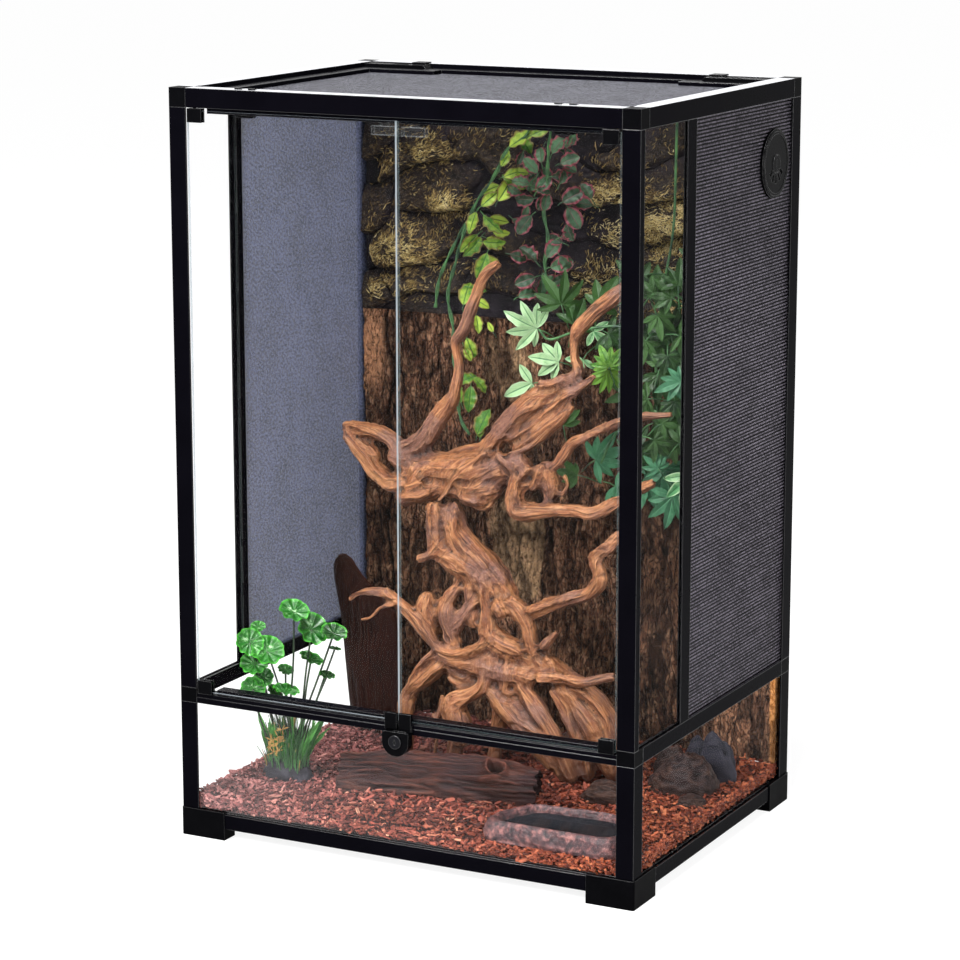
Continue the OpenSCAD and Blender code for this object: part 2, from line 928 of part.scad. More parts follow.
module relief_slab(x0, x1, z0, z1, nx, nz, rocky) {
    row = nx + 1;
    count = row * (nz + 1);
    xs = [for (i = [0 : nx]) x0 + (x1 - x0) * i / nx];
    zs = [for (j = [0 : nz]) z0 + (z1 - z0) * j / nz];
    face = [for (z = zs, x = xs) [x, rear_y - (rocky ? rock_relief(x, z) : bark_relief(x, z)), z]];
    back = [for (z = zs, x = xs) [x, rear_y, z]];
    quads = [for (j = [0 : nz - 1], i = [0 : nx - 1]) j * row + i];
    polyhedron(
        points = concat(face, back),
        faces = concat(
            [for (q = quads) [q, q + row, q + 1]],
            [for (q = quads) [q + 1, q + row, q + row + 1]],
            [for (q = quads) [q + count, q + 1 + count, q + row + count]],
            [for (q = quads) [q + 1 + count, q + row + 1 + count, q + row + count]],
            [for (i = [0 : nx - 1]) [i, i + 1, i + count]],
            [for (i = [0 : nx - 1]) [i + 1, i + 1 + count, i + count]],
            [for (i = [nz * row : nz * row + nx - 1]) [i, i + count, i + 1]],
            [for (i = [nz * row : nz * row + nx - 1]) [i + 1, i + count, i + 1 + count]],
            [for (j = [0 : nz - 1]) [j * row, j * row + count, (j + 1) * row]],
            [for (j = [0 : nz - 1]) [(j + 1) * row, j * row + count, (j + 1) * row + count]],
            [for (j = [0 : nz - 1]) [j * row + nx, (j + 1) * row + nx, j * row + nx + count]],
            [for (j = [0 : nz - 1]) [(j + 1) * row + nx, (j + 1) * row + nx + count, j * row + nx + count]]
        ));
}

module rock_background() {
    color([0.27, 0.22, 0.17]) relief_slab(-wall_x, wall_x, seam_z + seat, rock_top, 18, 12, true);
}

module bark_background() {
    color(bark) relief_slab(-wall_x, wall_x, bed_z, seam_z, 22, 8, false);
}

module substrate() {
    x = right_x - fit_gap;
    y = -front_y - fit_gap;
    color([0.5, 0.2, 0.14]) span([-x, -y, floor_z], [x, y, soil_top]);
}

// A limb through points that each hold x, y, z and a radius
module limb(points) {
    for (i = [0 : len(points) - 2])
        hull() {
            knot(points[i]);
            knot(points[i + 1]);
        }
}

module knot(p) {
    translate([p[0], p[1], p[2]]) sphere(r = p[3], $fn = 7);
}

upper_limbs = [
    [[-210, 15, 455, 14], [-180, 20, 430, 18], [-140, 30, 410, 22], [-80, 40, 410, 26], [0, 40, 425, 24]],
    [[-214, 30, 460, 9], [-170, 36, 458, 12], [-128, 38, 440, 15]],
    [[-110, 35, 395, 16], [-148, 25, 376, 9]],
    [[-115, 40, 425, 20], [-92, 40, 465, 14], [-72, 40, 515, 10], [-65, 40, 580, 9], [-45, 40, 632, 7]],
    [[-45, 40, 632, 7], [-25, 40, 675, 6], [-8, 40, 687, 4]],
    [[-40, 40, 400, 22], [20, 35, 402, 15], [30, 30, 440, 14]],
    [[0, 40, 435, 24], [42, 45, 502, 21], [82, 50, 540, 14], [80, 60, 578, 8], [85, 60, 605, 8]],
    [[-60, 40, 434, 17], [8, 42, 470, 18]],
    [[85, 60, 605, 8], [108, 60, 620, 8], [143, 60, 668, 8], [165, 60, 692, 6]],
    [[35, 45, 490, 9], [80, 50, 530, 8], [118, 50, 555, 5]],
    [
        [12, 40, 428, 14], [50, 40, 440, 9], [84, 40, 460, 6],
        [108, 40, 482, 6], [155, 40, 504, 5], [222, 40, 515, 4]
    ],
    [[22, 35, 440, 12], [8, 30, 400, 10], [18, 25, 378, 9], [60, 25, 381, 9], [103, 25, 387, 8]],
    [[103, 25, 387, 8], [160, 25, 412, 7], [208, 25, 438, 6]]
];

lower_limbs = [
    [
        [-80, 28, 388, 20], [-80, 25, 372, 18], [-74, 20, 325, 17],
        [-30, 20, 308, 22], [8, 20, 285, 21], [40, 20, 262, 16]
    ],
    [[-52, 28, 374, 17], [-36, 28, 336, 21], [6, 28, 300, 19]],
    [[-75, 20, 328, 12], [-112, 15, 306, 6]],
    [[-90, 24, 216, 13], [-72, 24, 262, 11], [-52, 24, 288, 7]],
    [[-60, 18, 214, 12], [-42, 18, 250, 12], [-22, 18, 276, 9]],
    [[42, 20, 262, 13], [92, 20, 280, 10], [128, 20, 300, 8], [140, 20, 320, 8], [132, 20, 338, 7]],
    [[132, 20, 338, 7], [165, 20, 370, 5]],
    [[12, 20, 280, 19], [4, 20, 238, 18], [-20, 20, 205, 21], [-62, 20, 182, 19], [-82, 20, 192, 12]],
    [[-82, 20, 192, 12], [-124, 20, 240, 9], [-150, 15, 262, 7], [-206, 10, 248, 4]],
    [[-146, 15, 258, 6], [-180, 10, 240, 4], [-198, 10, 224, 3]],
    [[-70, 20, 172, 15], [-114, 15, 142, 12], [-126, 15, 105, 11], [-130, 15, 45, 10]],
    [[-44, 20, 165, 13], [-60, 20, 112, 11], [-76, 20, 45, 9]],
    [[-40, 12, 168, 10], [-22, 10, 148, 11], [-54, 10, 122, 13], [-60, 12, 45, 9]],
    [[-10, 20, 190, 16], [4, 18, 140, 14], [62, 22, 104, 12], [96, 24, 45, 10]],
    [[52, 20, 190, 14], [64, 22, 165, 14], [94, 25, 110, 12], [116, 30, 45, 11]],
    [[100, 25, 182, 11], [142, 35, 112, 10], [160, 40, 45, 9]],
    [[-15, 20, 205, 20], [30, 20, 200, 17], [70, 22, 192, 15], [104, 24, 182, 11]],
    [[42, 20, 258, 13], [48, 20, 222, 13], [54, 20, 192, 13]],
    [[100, 24, 182, 8], [132, 20, 184, 6], [162, 15, 196, 4]],
    [[64, 22, 205, 8], [82, 18, 240, 4]]
];

// Flat seat where the upper piece stands on the lower one
neck = [-66, 28];
neck_r = 48;

module driftwood_upper() {
    color(wood)
    difference() {
        union()
            for (points = upper_limbs)
                limb(points);
        translate([neck[0], neck[1], neck_z - 60]) cylinder(h = 60 + seat, r = neck_r);
    }
}

module driftwood_lower() {
    color(wood)
    difference() {
        union()
            for (points = lower_limbs)
                limb(points);
        translate([neck[0], neck[1], neck_z]) cylinder(h = 60, r = neck_r);
        translate([-big / 2, -big / 2, bed_z - 60]) cube([big, big, 60]);
    }
}

slab_t = 22;
slab_gap = 10.3;
slab_back = 106.5;

module bark_slab() {
    color([0.3, 0.18, 0.13])
    translate([-right_x + slab_gap, rear_y - slab_back, bed_z]) rotate([90, 0, 0])
        linear_extrude(slab_t)
            polygon([
                [24, 0], [16, 80], [9, 150], [0, 208], [6, 230], [20, 220],
                [42, 190], [68, 176], [90, 150], [96, 80], [100, 0]
            ]);
}

// Half-round hollow log with a knot hole
log_len = 245;
log_turn = 14;
log_hollow = 0.78;
log_ring = [[-34, 0], [-37, 14], [-31, 32], [-18, 46], [0, 52], [17, 48], [30, 36], [36, 18], [33, 0]];
knot_r = 8;

module log_arch(k = 1) {
    polygon([for (p = log_ring) p * k]);
}

module floor_log() {
    color([0.38, 0.27, 0.22])
    difference() {
        translate([-145, -112, bed_z]) rotate([0, 0, log_turn]) rotate([90, 0, 90])
            difference() {
                linear_extrude(log_len) log_arch();
                translate([0, -1, -1]) linear_extrude(log_len + 2) log_arch(log_hollow);
            }
        translate([58, -78, bed_z + 20]) rotate([35, 0, 0]) cylinder(h = 60, r = knot_r);
    }
}

// Lobes of the dish, each x, y and a radius, measured from the front right corner of the glass
dish_lobes = [[-174, 29, 24], [-152, 67, 28], [-60, 67, 32], [-40, 35, 30]];
dish_h = 24;
dish_floor = 5;
dish_rim = 13;

module dish_blank(inset, z0, z1) {
    translate([right_x, front_y, z0])
        hull()
            for (lobe = dish_lobes)
                translate([lobe[0], lobe[1], 0]) cylinder(h = z1 - z0, r = lobe[2] - inset);
}

module water_dish() {
    color([0.36, 0.28, 0.28])
    difference() {
        dish_blank(0, bed_z, bed_z + dish_h);
        dish_blank(dish_rim, bed_z + dish_floor, bed_z + dish_h + 1);
    }
}

module stone(at, size) {
    difference() {
        translate([at[0], at[1], bed_z])
            hull() {
                translate([-size[0] * 0.2, 0, size[2] * 0.2]) sphere(r = size[1] * 0.4, $fn = 11);
                translate([size[0] * 0.25, size[1] * 0.1, size[2] * 0.35])
                    sphere(r = size[2] * 0.5, $fn = 11);
                translate([0, size[1] * 0.2, size[2] * 0.3]) sphere(r = size[2] * 0.55, $fn = 11);
            }
        translate([at[0] - 100, at[1] - 100, bed_z - 60]) cube([200, 200, 60]);
    }
}

module stones() {
    color([0.42, 0.36, 0.32]) {
        stone([right_x - 124, -28], [62, 46, 34]);
        stone([right_x - 56, 62], [84, 80, 66]);
    }
}

// A leaf blade lying in XY from the origin along +X
module blade(length, width) {
    linear_extrude(1.4)
        polygon([
            [0, 0], [length * 0.25, -width * 0.4], [length * 0.55, -width * 0.5],
            [length, 0], [length * 0.55, width * 0.5], [length * 0.25, width * 0.4]
        ]);
}

module leaf_at(p, turn, tilt, length, width) {
    translate(p) rotate([tilt, 0, 0]) rotate([90, 0, 0]) rotate([0, 0, turn]) blade(length, width);
}

module star_at(p, turn, tilt, length) {
    for (i = [-2 : 2])
        leaf_at(p, turn + i * 38, tilt, length * (1 - 0.12 * abs(i)), length * 0.3);
}

module vine(route, turns, length, width) {
    limb(route);
    for (i = [2 : len(route) - 1])
        for (k = turns)
            leaf_at([route[i][0], route[i][1], route[i][2]], k + 17 * i, (i % 2) * 24 - 12, length, width);
}

hang_z = rock_top + 2.8;

module vine_green() {
    route = [
        [-40, rear_y - 20, hang_z, 2.4], [-42, 170, hang_z, 2.4], [-58, 152, 820, 2.4], [-80, 148, 782, 2.4],
        [-104, 146, 748, 2.4], [-115, 146, 708, 2.4], [-120, 146, 664, 2.4], [-134, 146, 612, 2.4],
        [-121, 144, 575, 2.4], [-120, 142, 534, 2.4], [-114, 140, 496, 2.4], [-98, 140, 448, 2.4]
    ];
    color([0.5, 0.7, 0.2]) vine(route, [-20, 200], 38, 20);
}

module vine_red() {
    route = [
        [12, rear_y - 20, hang_z, 2.2], [10, 170, hang_z, 2.2], [4, 152, 838, 2.2], [2, 148, 810, 2.2],
        [-5, 146, 785, 2.2], [-9, 146, 760, 2.2], [-9, 146, 735, 2.2], [-6, 146, 710, 2.2],
        [-4, 146, 685, 2.2], [-2, 146, 660, 2.2], [3, 146, 632, 2.2]
    ];
    color([0.3, 0.42, 0.25]) vine(route, [-35, 15, 160, 215], 34, 24);
}

module leaf_cluster() {
    route = [
        [165, rear_y - 20, hang_z, 2.6], [165, 168, hang_z, 2.6], [172, 150, 800, 2.6], [174, 140, 720, 2.6],
        [165, 132, 650, 2.6], [158, 130, 590, 2.6], [158, 130, 520, 2.6], [166, 130, 430, 2.6]
    ];
    arm = [
        [158, 130, 590, 2.4], [110, 124, 600, 2.2], [60, 120, 590, 2],
        [0, 118, 565, 2], [-34, 118, 548, 1.8]
    ];
    color(leaf_green) {
        limb(route);
        limb(arm);
        star_at([165, 132, 650], 60, 10, 62);
        star_at([164, 132, 640], -30, -12, 66);
        star_at([158, 130, 590], 20, 12, 64);
        star_at([158, 130, 560], 200, -10, 60);
        star_at([158, 130, 520], -20, 8, 66);
        star_at([160, 130, 500], 210, -8, 60);
        star_at([166, 130, 432], -60, 10, 64);
        star_at([165, 130, 440], 240, -10, 60);
        star_at([110, 124, 600], 90, 12, 50);
        star_at([60, 120, 590], 80, -10, 48);
        star_at([0, 118, 565], 120, 8, 50);
        star_at([-32, 118, 550], 200, 0, 46);
    }
}

// Round leaves over the foot of the pennywort, each x, y, z from the foot and a radius
pads = [
    [-23, -48, 179, 17], [34, -38, 222, 18], [53, -28, 200, 20], [76, -16, 195, 16],
    [-4, -38, 168, 20], [-19, -44, 152, 17], [45, -18, 159, 15], [-10, -38, 134, 12],
    [19, -34, 120, 16]
];
pad_t = 1.6;

// Upright stalk as a thin cone between two places
module stalk(a, b, ra, rb) {
    hull() {
        translate(a) cylinder(h = 1, r = ra, $fn = 6);
        translate(b) cylinder(h = 1, r = rb, $fn = 6);
    }
}

module pennywort() {
    color(leaf_green)
    translate([-right_x + 70, front_y + 113, bed_z])
        difference() {
            union() {
                hull() {
                    cylinder(h = 10, r = 30, $fn = 12);
                    translate([2, 2, 14]) cylinder(h = 8, r = 20, $fn = 12);
                }
                for (p = pads) {
                    stalk([0, 0, 17], [p[0], p[1], p[2] - 1], 4, 1.2);
                    translate([p[0], p[1], p[2]]) rotate([24, 6, 0])
                        difference() {
                            cylinder(h = pad_t, r = p[3], $fn = 24, center = true);
                            rotate(135) translate([0, -1.5, -pad_t]) cube([p[3] + 1, 3, 2 * pad_t]);
                        }
                }
            }
            translate([-big / 2, -big / 2, -60]) cube([big, big, 60]);
        }
}

placed() at_corner("left", "front") foot();  // foot_front_left
placed() at_corner("right", "front") foot();  // foot_front_right
placed() at_corner("left", "rear") foot();  // foot_rear_left
placed() at_corner("right", "rear") foot();  // foot_rear_right
placed() bottom_rail("front", rail_x);  // bottom_rail_front
placed() bottom_rail("rear", rail_x);  // bottom_rail_rear
placed() bottom_rails_side();
placed() floor_glass();
placed() lower_posts();
placed() mid_corners();
placed() mid_rail_front();
placed() mid_rails_side();
placed() upper_posts_front();
placed() upper_posts_rear();
placed() top_corners();
placed() top_rail_front();
placed() top_rail_rear();
placed() top_rails_side();
placed() color(clear) pane_front_low();  // lower_glass_front
placed() color(clear) both_sides() pane_side_low();  // lower_glass_sides
placed() color(clear) pane_rear();  // rear_glass
placed() color(clear) both_sides() pane_side_up();  // side_glass
placed() mullions();
placed() color(grey_mesh) side_mesh();  // mesh_left
placed() mesh_right();
placed() color(clear) door_pane();  // door_glass_left
placed() color(clear) on_side("right") door_pane();  // door_glass_right
placed() hinge_clips();  // hinge_clips_left
placed() on_side("right") hinge_clips();  // hinge_clips_right
placed() catch_plate();  // catch_plate_left
placed() on_side("right") catch_plate();  // catch_plate_right
placed() door_stops();
placed() lock_body();
placed() lock_barrel();
placed() lid_frame();
placed() lid_mesh();
placed() lid_latch();  // lid_latch_left
placed() on_side("right") lid_latch();  // lid_latch_right
placed() both_sides() cable_housing();  // cable_housings
placed() cable_slide();  // cable_slide_left
placed() on_side("right") cable_slide();  // cable_slide_right
placed() port_ring();
placed() port_shutter();
placed() substrate();
placed() rock_background();
placed() bark_background();
placed() driftwood_upper();
placed() driftwood_lower();
placed() bark_slab();
placed() floor_log();
placed() water_dish();
placed() stones();
placed() vine_green();
placed() vine_red();
placed() leaf_cluster();
placed() pennywort();
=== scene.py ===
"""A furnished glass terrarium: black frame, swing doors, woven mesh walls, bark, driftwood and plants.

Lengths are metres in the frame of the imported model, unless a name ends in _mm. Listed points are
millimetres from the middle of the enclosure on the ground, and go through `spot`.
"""

from __future__ import annotations

import logging
import math
from dataclasses import dataclass, field, replace
from enum import Enum
from typing import Iterable, Sequence, Union

import bpy
import numpy as np
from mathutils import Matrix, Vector, kdtree


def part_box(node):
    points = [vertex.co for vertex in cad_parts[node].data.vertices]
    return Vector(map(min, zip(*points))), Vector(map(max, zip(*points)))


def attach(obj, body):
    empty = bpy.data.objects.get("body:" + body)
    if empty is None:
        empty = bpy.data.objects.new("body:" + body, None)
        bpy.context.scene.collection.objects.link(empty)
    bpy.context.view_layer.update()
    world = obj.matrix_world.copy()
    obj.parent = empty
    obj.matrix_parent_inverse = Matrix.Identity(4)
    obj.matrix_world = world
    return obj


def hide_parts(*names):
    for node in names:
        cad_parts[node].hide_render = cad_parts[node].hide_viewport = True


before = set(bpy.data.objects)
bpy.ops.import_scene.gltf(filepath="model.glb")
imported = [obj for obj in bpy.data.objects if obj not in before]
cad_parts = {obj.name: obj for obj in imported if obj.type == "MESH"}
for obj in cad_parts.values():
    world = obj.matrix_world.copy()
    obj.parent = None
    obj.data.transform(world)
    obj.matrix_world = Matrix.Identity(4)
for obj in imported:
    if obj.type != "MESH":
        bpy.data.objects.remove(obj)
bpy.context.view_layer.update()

LOG = logging.getLogger("terrarium")
MM = 0.001
TURN = 2 * math.pi
Row = Sequence[float]
Line = tuple[Row, ...]
Names = Sequence[str]
Rng = np.random.Generator
Colour = tuple[float, float, float]
Socket = bpy.types.NodeSocket
Value = Union[Socket, float]
Paint = Union[Socket, Colour]


def middle_y() -> float:
    """The y of the middle of the enclosure, halfway between the feet's front and back faces."""
    return (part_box("foot_front_left")[0].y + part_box("foot_rear_left")[1].y) / 2


MID_Y = middle_y()


def spot(x: float, y: float, z: float) -> np.ndarray:
    """The point in metres that lies so many millimetres right, back and up from the middle."""
    return np.array([x * MM, y * MM + MID_Y, z * MM])


def placed(name: str, data: bpy.types.ID) -> bpy.types.Object:
    """Makes an object of some data and links it to the scene."""
    made = bpy.data.objects.new(name, data)
    bpy.context.scene.collection.objects.link(made)
    return made


def toned(colour: Colour, factor: float) -> Colour:
    """A colour made darker or lighter by a factor, up to white."""
    return tuple(min(1.0, factor * c) for c in colour)


class Blend(Enum):
    """How one colour is laid over another."""

    PLAIN = "MIX"
    DARKEN = "MULTIPLY"


class Nodes:
    """Builds the node tree of a material or a world with short calls."""

    def __init__(self, owner: bpy.types.Material | bpy.types.World) -> None:
        """Starts with an empty tree."""
        owner.use_nodes = True
        self.tree = owner.node_tree
        self.tree.nodes.clear()

    def add(self, kind: str, inputs: dict | None = None, **settings: object) -> bpy.types.Node:
        """Adds a node.

        Args:
            kind: The node's type without the ShaderNode prefix.
            inputs: Values or sockets for its inputs, by name or index.
            **settings: Attributes of the node.

        Returns:
            The new node.
        """
        node = self.tree.nodes.new("ShaderNode" + kind)
        for key, value in settings.items():
            setattr(node, key, value)
        for key, value in (inputs or {}).items():
            if isinstance(value, Socket):
                self.tree.links.new(value, node.inputs[key])
            else:
                node.inputs[key].default_value = value
        return node

    def stretch(self, vector: Socket, scale: Row, turn: Row = (0, 0, 0)) -> Socket:
        """A vector stretched by scale and turned by degrees."""
        rotation = [math.radians(a) for a in turn]
        return self.add("Mapping", {"Vector": vector, "Scale": scale, "Rotation": rotation}).outputs[0]

    def place(self, scale: Row = (1, 1, 1), turn: Row = (0, 0, 0)) -> Socket:
        """Object coordinates, stretched and turned."""
        return self.stretch(self.add("TexCoord").outputs["Object"], scale, turn)

    def sheet(self, scale: Row = (1, 1, 1)) -> Socket:
        """The piece's own surface coordinates: along, across and tone, stretched."""
        return self.stretch(self.add("Attribute", attribute_name="sheet").outputs["Vector"], scale)

    def axis(self, vector: Socket, name: str = "Z") -> Socket:
        """One component of a vector."""
        return self.add("SeparateXYZ", {"Vector": vector}).outputs[name]

    def measure(self, kind: str, name: str = "Z") -> Socket:
        """One component of the surface's Position or Normal."""
        return self.axis(self.add("NewGeometry").outputs[kind], name)

    def grain(self, vector: Socket, scale: float, detail: float = 4, rough: float = 0.55,
              bend: float = 0) -> Socket:
        """Fractal noise from 0 to 1."""
        inputs = {"Vector": vector, "Scale": scale, "Detail": detail, "Roughness": rough, "Distortion": bend}
        return self.add("TexNoise", inputs).outputs["Fac"]

    def cells(self, vector: Socket, scale: float, feature: str = "F1") -> Socket:
        """Distances in a field of cells, such as F1 or DISTANCE_TO_EDGE."""
        return self.add("TexVoronoi", {"Vector": vector, "Scale": scale}, feature=feature).outputs["Distance"]

    def math(self, operation: str, a: Value, b: Value = 0.0, clamp: bool = False) -> Socket:
        """One arithmetic step on two values."""
        return self.add("Math", {0: a, 1: b}, operation=operation, use_clamp=clamp).outputs[0]

    def times(self, a: Value, b: Value) -> Socket:
        """The product of two values."""
        return self.math("MULTIPLY", a, b)

    def plus(self, a: Value, b: Value) -> Socket:
        """The sum of two values."""
        return self.math("ADD", a, b)

    def span(self, value: Value, low: float, high: float, to_low: float = 0, to_high: float = 1) -> Socket:
        """Maps a value from one range to another, clamped."""
        inputs = {"Value": value, 1: low, 2: high, 3: to_low, 4: to_high}
        return self.add("MapRange", inputs, clamp=True).outputs[0]

    def graze(self, power: float) -> Socket:
        """How grazing the view is, from 0 face on to 1, raised to a power."""
        return self.math("POWER", self.add("LayerWeight", {"Blend": 0.5}).outputs["Facing"], power)

    def ramp(self, value: Value, *stops: tuple[float, Colour]) -> Socket:
        """Turns a value into a colour through stops of position and colour."""
        node = self.add("ValToRGB", {"Fac": value})
        elements = node.color_ramp.elements
        while len(elements) < len(stops):
            elements.new(0.5)
        for element, (position, colour) in zip(elements, stops):
            element.position = position
            element.color = (*colour, 1)
        return node.outputs["Color"]

    def mix(self, factor: Value, a: Paint, b: Paint, blend: Blend = Blend.PLAIN) -> Socket:
        """Lays colour b over colour a by a factor."""
        rgb = {key: (*v, 1) if isinstance(v, tuple) else v for key, v in ((6, a), (7, b))}
        return self.add("Mix", {0: factor, **rgb}, data_type="RGBA", blend_type=blend.value).outputs[2]

    def coats(self, base: Paint, *rows: tuple[Value, float, float, float, Paint]) -> Socket:
        """Lays coats over a colour, one after the other.

        Args:
            base: The colour below them.
            *rows: For each coat a value, where on it the coat starts and where it is full, its greatest
                share, and its colour.

        Returns:
            The colour with all coats.
        """
        for value, start, full, share, colour in rows:
            base = self.mix(self.span(value, start, full, 0, share), base, colour)
        return base

    def arris(self, radius_mm: float) -> tuple[Socket, Socket]:
        """The normal rounded over the arrises, and a mask of 1 on them."""
        soft = self.add("Bevel", {"Radius": radius_mm * MM}, samples=6).outputs[0]
        flat = self.add("NewGeometry").outputs["Normal"]
        turn = self.add("VectorMath", {0: soft, 1: flat}, operation="DOT_PRODUCT").outputs["Value"]
        return soft, self.span(turn, 0.995, 0.93)

    def open(self, reach_mm: float) -> Socket:
        """How open the surface is within a reach: 1 on crests, near 0 deep in hollows."""
        inputs = {"Distance": reach_mm * MM}
        return self.add("AmbientOcclusion", inputs, samples=4, only_local=True).outputs["AO"]

    def bump(self, height: Value, depth_mm: float, strength: float, under: Socket | None = None) -> Socket:
        """A normal pushed by a height of 0 to 1 over a depth in millimetres."""
        inputs = {"Height": height, "Distance": depth_mm * MM, "Strength": strength}
        if under is not None:
            inputs["Normal"] = under
        return self.add("Bump", inputs).outputs[0]

    def surface(self, **sockets: object) -> None:
        """Ends the tree in a Principled shader, whose inputs have underscores for spaces."""
        shader = self.add("BsdfPrincipled", {key.replace("_", " "): value for key, value in sockets.items()})
        self.add("OutputMaterial", {"Surface": shader.outputs[0]})


class Finish:
    """A surface finish that makes its material once."""

    def paint(self, n: Nodes) -> None:
        """Builds the finish's nodes."""
        raise NotImplementedError

    @property
    def material(self) -> bpy.types.Material:
        """The finish's material, made on first use and named by its class and its words."""
        name = type(self).__name__ + "".join(f"_{v}" for v in vars(self).values() if isinstance(v, str))
        made = bpy.data.materials.get(name)
        if made is None:
            made = bpy.data.materials.new(name)
            self.paint(Nodes(made))
        return made


@dataclass(frozen=True)
class BlackCoat(Finish):
    """Satin black coat on rails and posts, with a soft glint along the arrises.

    `sky` is the shine of faces that look up, and `glare` how white they turn at a grazing view, a painted
    reflection of the sky.
    """

    kind: str = "rail"
    colour: Colour = (0.0011, 0.0010, 0.0018)
    rough: float = 0.28
    shine: float = 0.006
    glint: float = 0.8
    sky: float = 0.25
    glare: float = 0.0
    round_mm: float = 1.0

    def paint(self, n: Nodes) -> None:
        """Smeared black, rounded at its arrises and brighter on top, with a painted sky reflection where glare
        is set.
        """
        at = n.place()
        smear = n.grain(at, 14, 4, 0.6)
        edge, glint = n.arris(self.round_mm)
        colour = n.coats(self.colour, (smear, 0.35, 0.75, 0.35, toned(self.colour, 2.2)))
        up = n.span(n.measure("Normal"), 0.7, 0.95)
        # Painted sky reflection: faces that look up turn to a white mirror at a grazing view.
        white = 0.0
        if self.glare:
            white = n.times(n.times(up, n.graze(3)), self.glare)
            colour = n.mix(white, colour, (0.95, 0.96, 1.0))
        shine = n.span(glint, 0, 1, self.shine, self.glint)
        n.surface(
            Base_Color=colour,
            Metallic=white,
            Roughness=n.span(smear, 0.3, 0.7, self.rough - 0.06, self.rough + 0.08),
            Specular_IOR_Level=n.math("MAXIMUM", shine, n.times(up, self.sky)),
            Normal=n.bump(n.grain(at, 900, 3), 0.02, 0.35, edge),
        )


@dataclass(frozen=True)
class BlackPlastic(Finish):
    """Moulded black plastic with a fine eroded grain."""

    kind: str = "moulded"
    colour: Colour = (0.0011, 0.0011, 0.0014)
    rough: float = 0.34
    shine: float = 0.008
    glint: float = 0.5
    grain_scale: float = 1500

    def paint(self, n: Nodes) -> None:
        """Worn black with tiny pits and rounded arrises."""
        at = n.place()
        wear = n.grain(at, 40, 5, 0.65)
        edge, glint = n.arris(0.6)
        n.surface(
            Base_Color=n.coats(self.colour, (wear, 0.4, 0.8, 0.4, toned(self.colour, 2.5))),
            Roughness=n.span(wear, 0.3, 0.7, self.rough - 0.05, self.rough + 0.1),
            Specular_IOR_Level=n.span(glint, 0, 1, self.shine, self.glint),
            Normal=n.bump(n.cells(at, self.grain_scale), 0.03, 0.3, edge),
        )


@dataclass(frozen=True)
class ClearPane(Finish):
    """Thin clear glass: it reflects by angle, lets light through, and shows its ground edges.

    The faces whose normal lies along `face` are the polished ones, and all others are ground edges. A painted
    reflection at the lower left makes the mirror stronger there, patchy with the smudges.
    """

    face: str
    kind: str = "wall"
    mirror: float = 0.0018
    glare: float = 0.014
    film: float = 0.0
    edge_colour: Colour = (0.25, 0.33, 0.34)
    edge_cover: float = 0.6

    def paint(self, n: Nodes) -> None:
        """A faint mirror with smudges, a painted reflection low at the left, and matt edges."""
        at = n.place()
        edge = n.span(n.math("ABSOLUTE", n.measure("Normal", self.face)), 0.5, 0.8, 1, 0)
        smudge = n.grain(at, 9, 5, 0.6)
        # Painted reflection: the mirror is made stronger low at the left, broken by the smudges.
        painted_glare_patch = n.times(n.span(n.measure("Position", "X"), -0.28, 0.2, self.film, 0),
                       n.span(smudge, 0.3, 0.7, 0.75, 1.2))
        painted_glare_patch = n.times(painted_glare_patch, n.span(n.measure("Position"), 0.075, 0.13, 1, 0.3))
        cover = n.plus(n.plus(n.times(n.graze(4), self.glare), self.mirror), painted_glare_patch)
        # Edges that face right are painted stronger than the others: a painted highlight on them.
        side = n.times(n.times(edge, n.span(n.measure("Normal", "X"), 0.3, 0.8, 0.3, 1)), self.edge_cover)
        n.surface(
            Base_Color=n.mix(edge, (1.0, 1.0, 1.0), self.edge_colour),
            Metallic=n.span(edge, 0, 1, 1, 0),
            Roughness=n.plus(n.span(smudge, 0.3, 0.8, 0.0, 0.03), n.times(edge, 0.3)),
            Alpha=n.math("MAXIMUM", cover, side, clamp=True),
            Normal=n.bump(n.grain(at, 600, 3), 0.02, 0.2),
        )


@dataclass(frozen=True)
class ClearPlastic(Finish):
    """Clear moulded plastic with a faint cloud in it."""

    cover: float = 0.006

    def paint(self, n: Nodes) -> None:
        """A cloudy clear sheet with brighter arrises."""
        cloud = n.grain(n.place(), 60, 4)
        n.surface(
            Base_Color=n.ramp(cloud, (0.3, (0.75, 0.8, 0.82)), (0.7, (0.9, 0.93, 0.95))),
            Roughness=n.span(cloud, 0.2, 0.8, 0.05, 0.15),
            Alpha=n.plus(n.times(n.graze(2), 0.03), n.span(n.arris(0.4)[1], 0, 1, self.cover, 0.4)),
            Coat_Weight=0.05,
        )


@dataclass(frozen=True)
class WovenWire(Finish):
    """Coated steel wire in lighter and darker specks.

    Where a band pitch is given, dark bands of that pitch from a given height part the wires: painted shade
    between rows of the weave.
    """

    kind: str = "grey"
    colour: Colour = (0.122, 0.142, 0.245)
    shade_band_mm: float = 0.0
    shade_band_at: float = 0.0
    shine: float = 0.5

    def paint(self, n: Nodes) -> None:
        """Specks, and the bands of painted shade if there are any."""
        at = n.place()
        tone = n.plus(n.times(n.grain(at, 25, 4), 0.2), n.times(n.grain(at, 330, 1), 0.8))
        fine = n.grain(at, 1800, 2)
        colour = n.mix(n.span(tone, 0.42, 0.58), toned(self.colour, 0.35), toned(self.colour, 1.25))
        # Painted shade: near-black bands between rows of the weave.
        if self.shade_band_mm:
            rise = n.math("SUBTRACT", n.measure("Position"), self.shade_band_at)
            wave = n.math("COSINE", n.times(rise, TURN / (self.shade_band_mm * MM)))
            colour = n.coats(colour, (wave, 0.35, -0.1, 0.98, (0.001, 0.001, 0.001)))
        n.surface(
            Base_Color=colour,
            Roughness=n.span(fine, 0.3, 0.7, 0.35, 0.55),
            Specular_IOR_Level=self.shine,
            Metallic=0.35,
            Normal=n.bump(fine, 0.02, 0.4),
        )


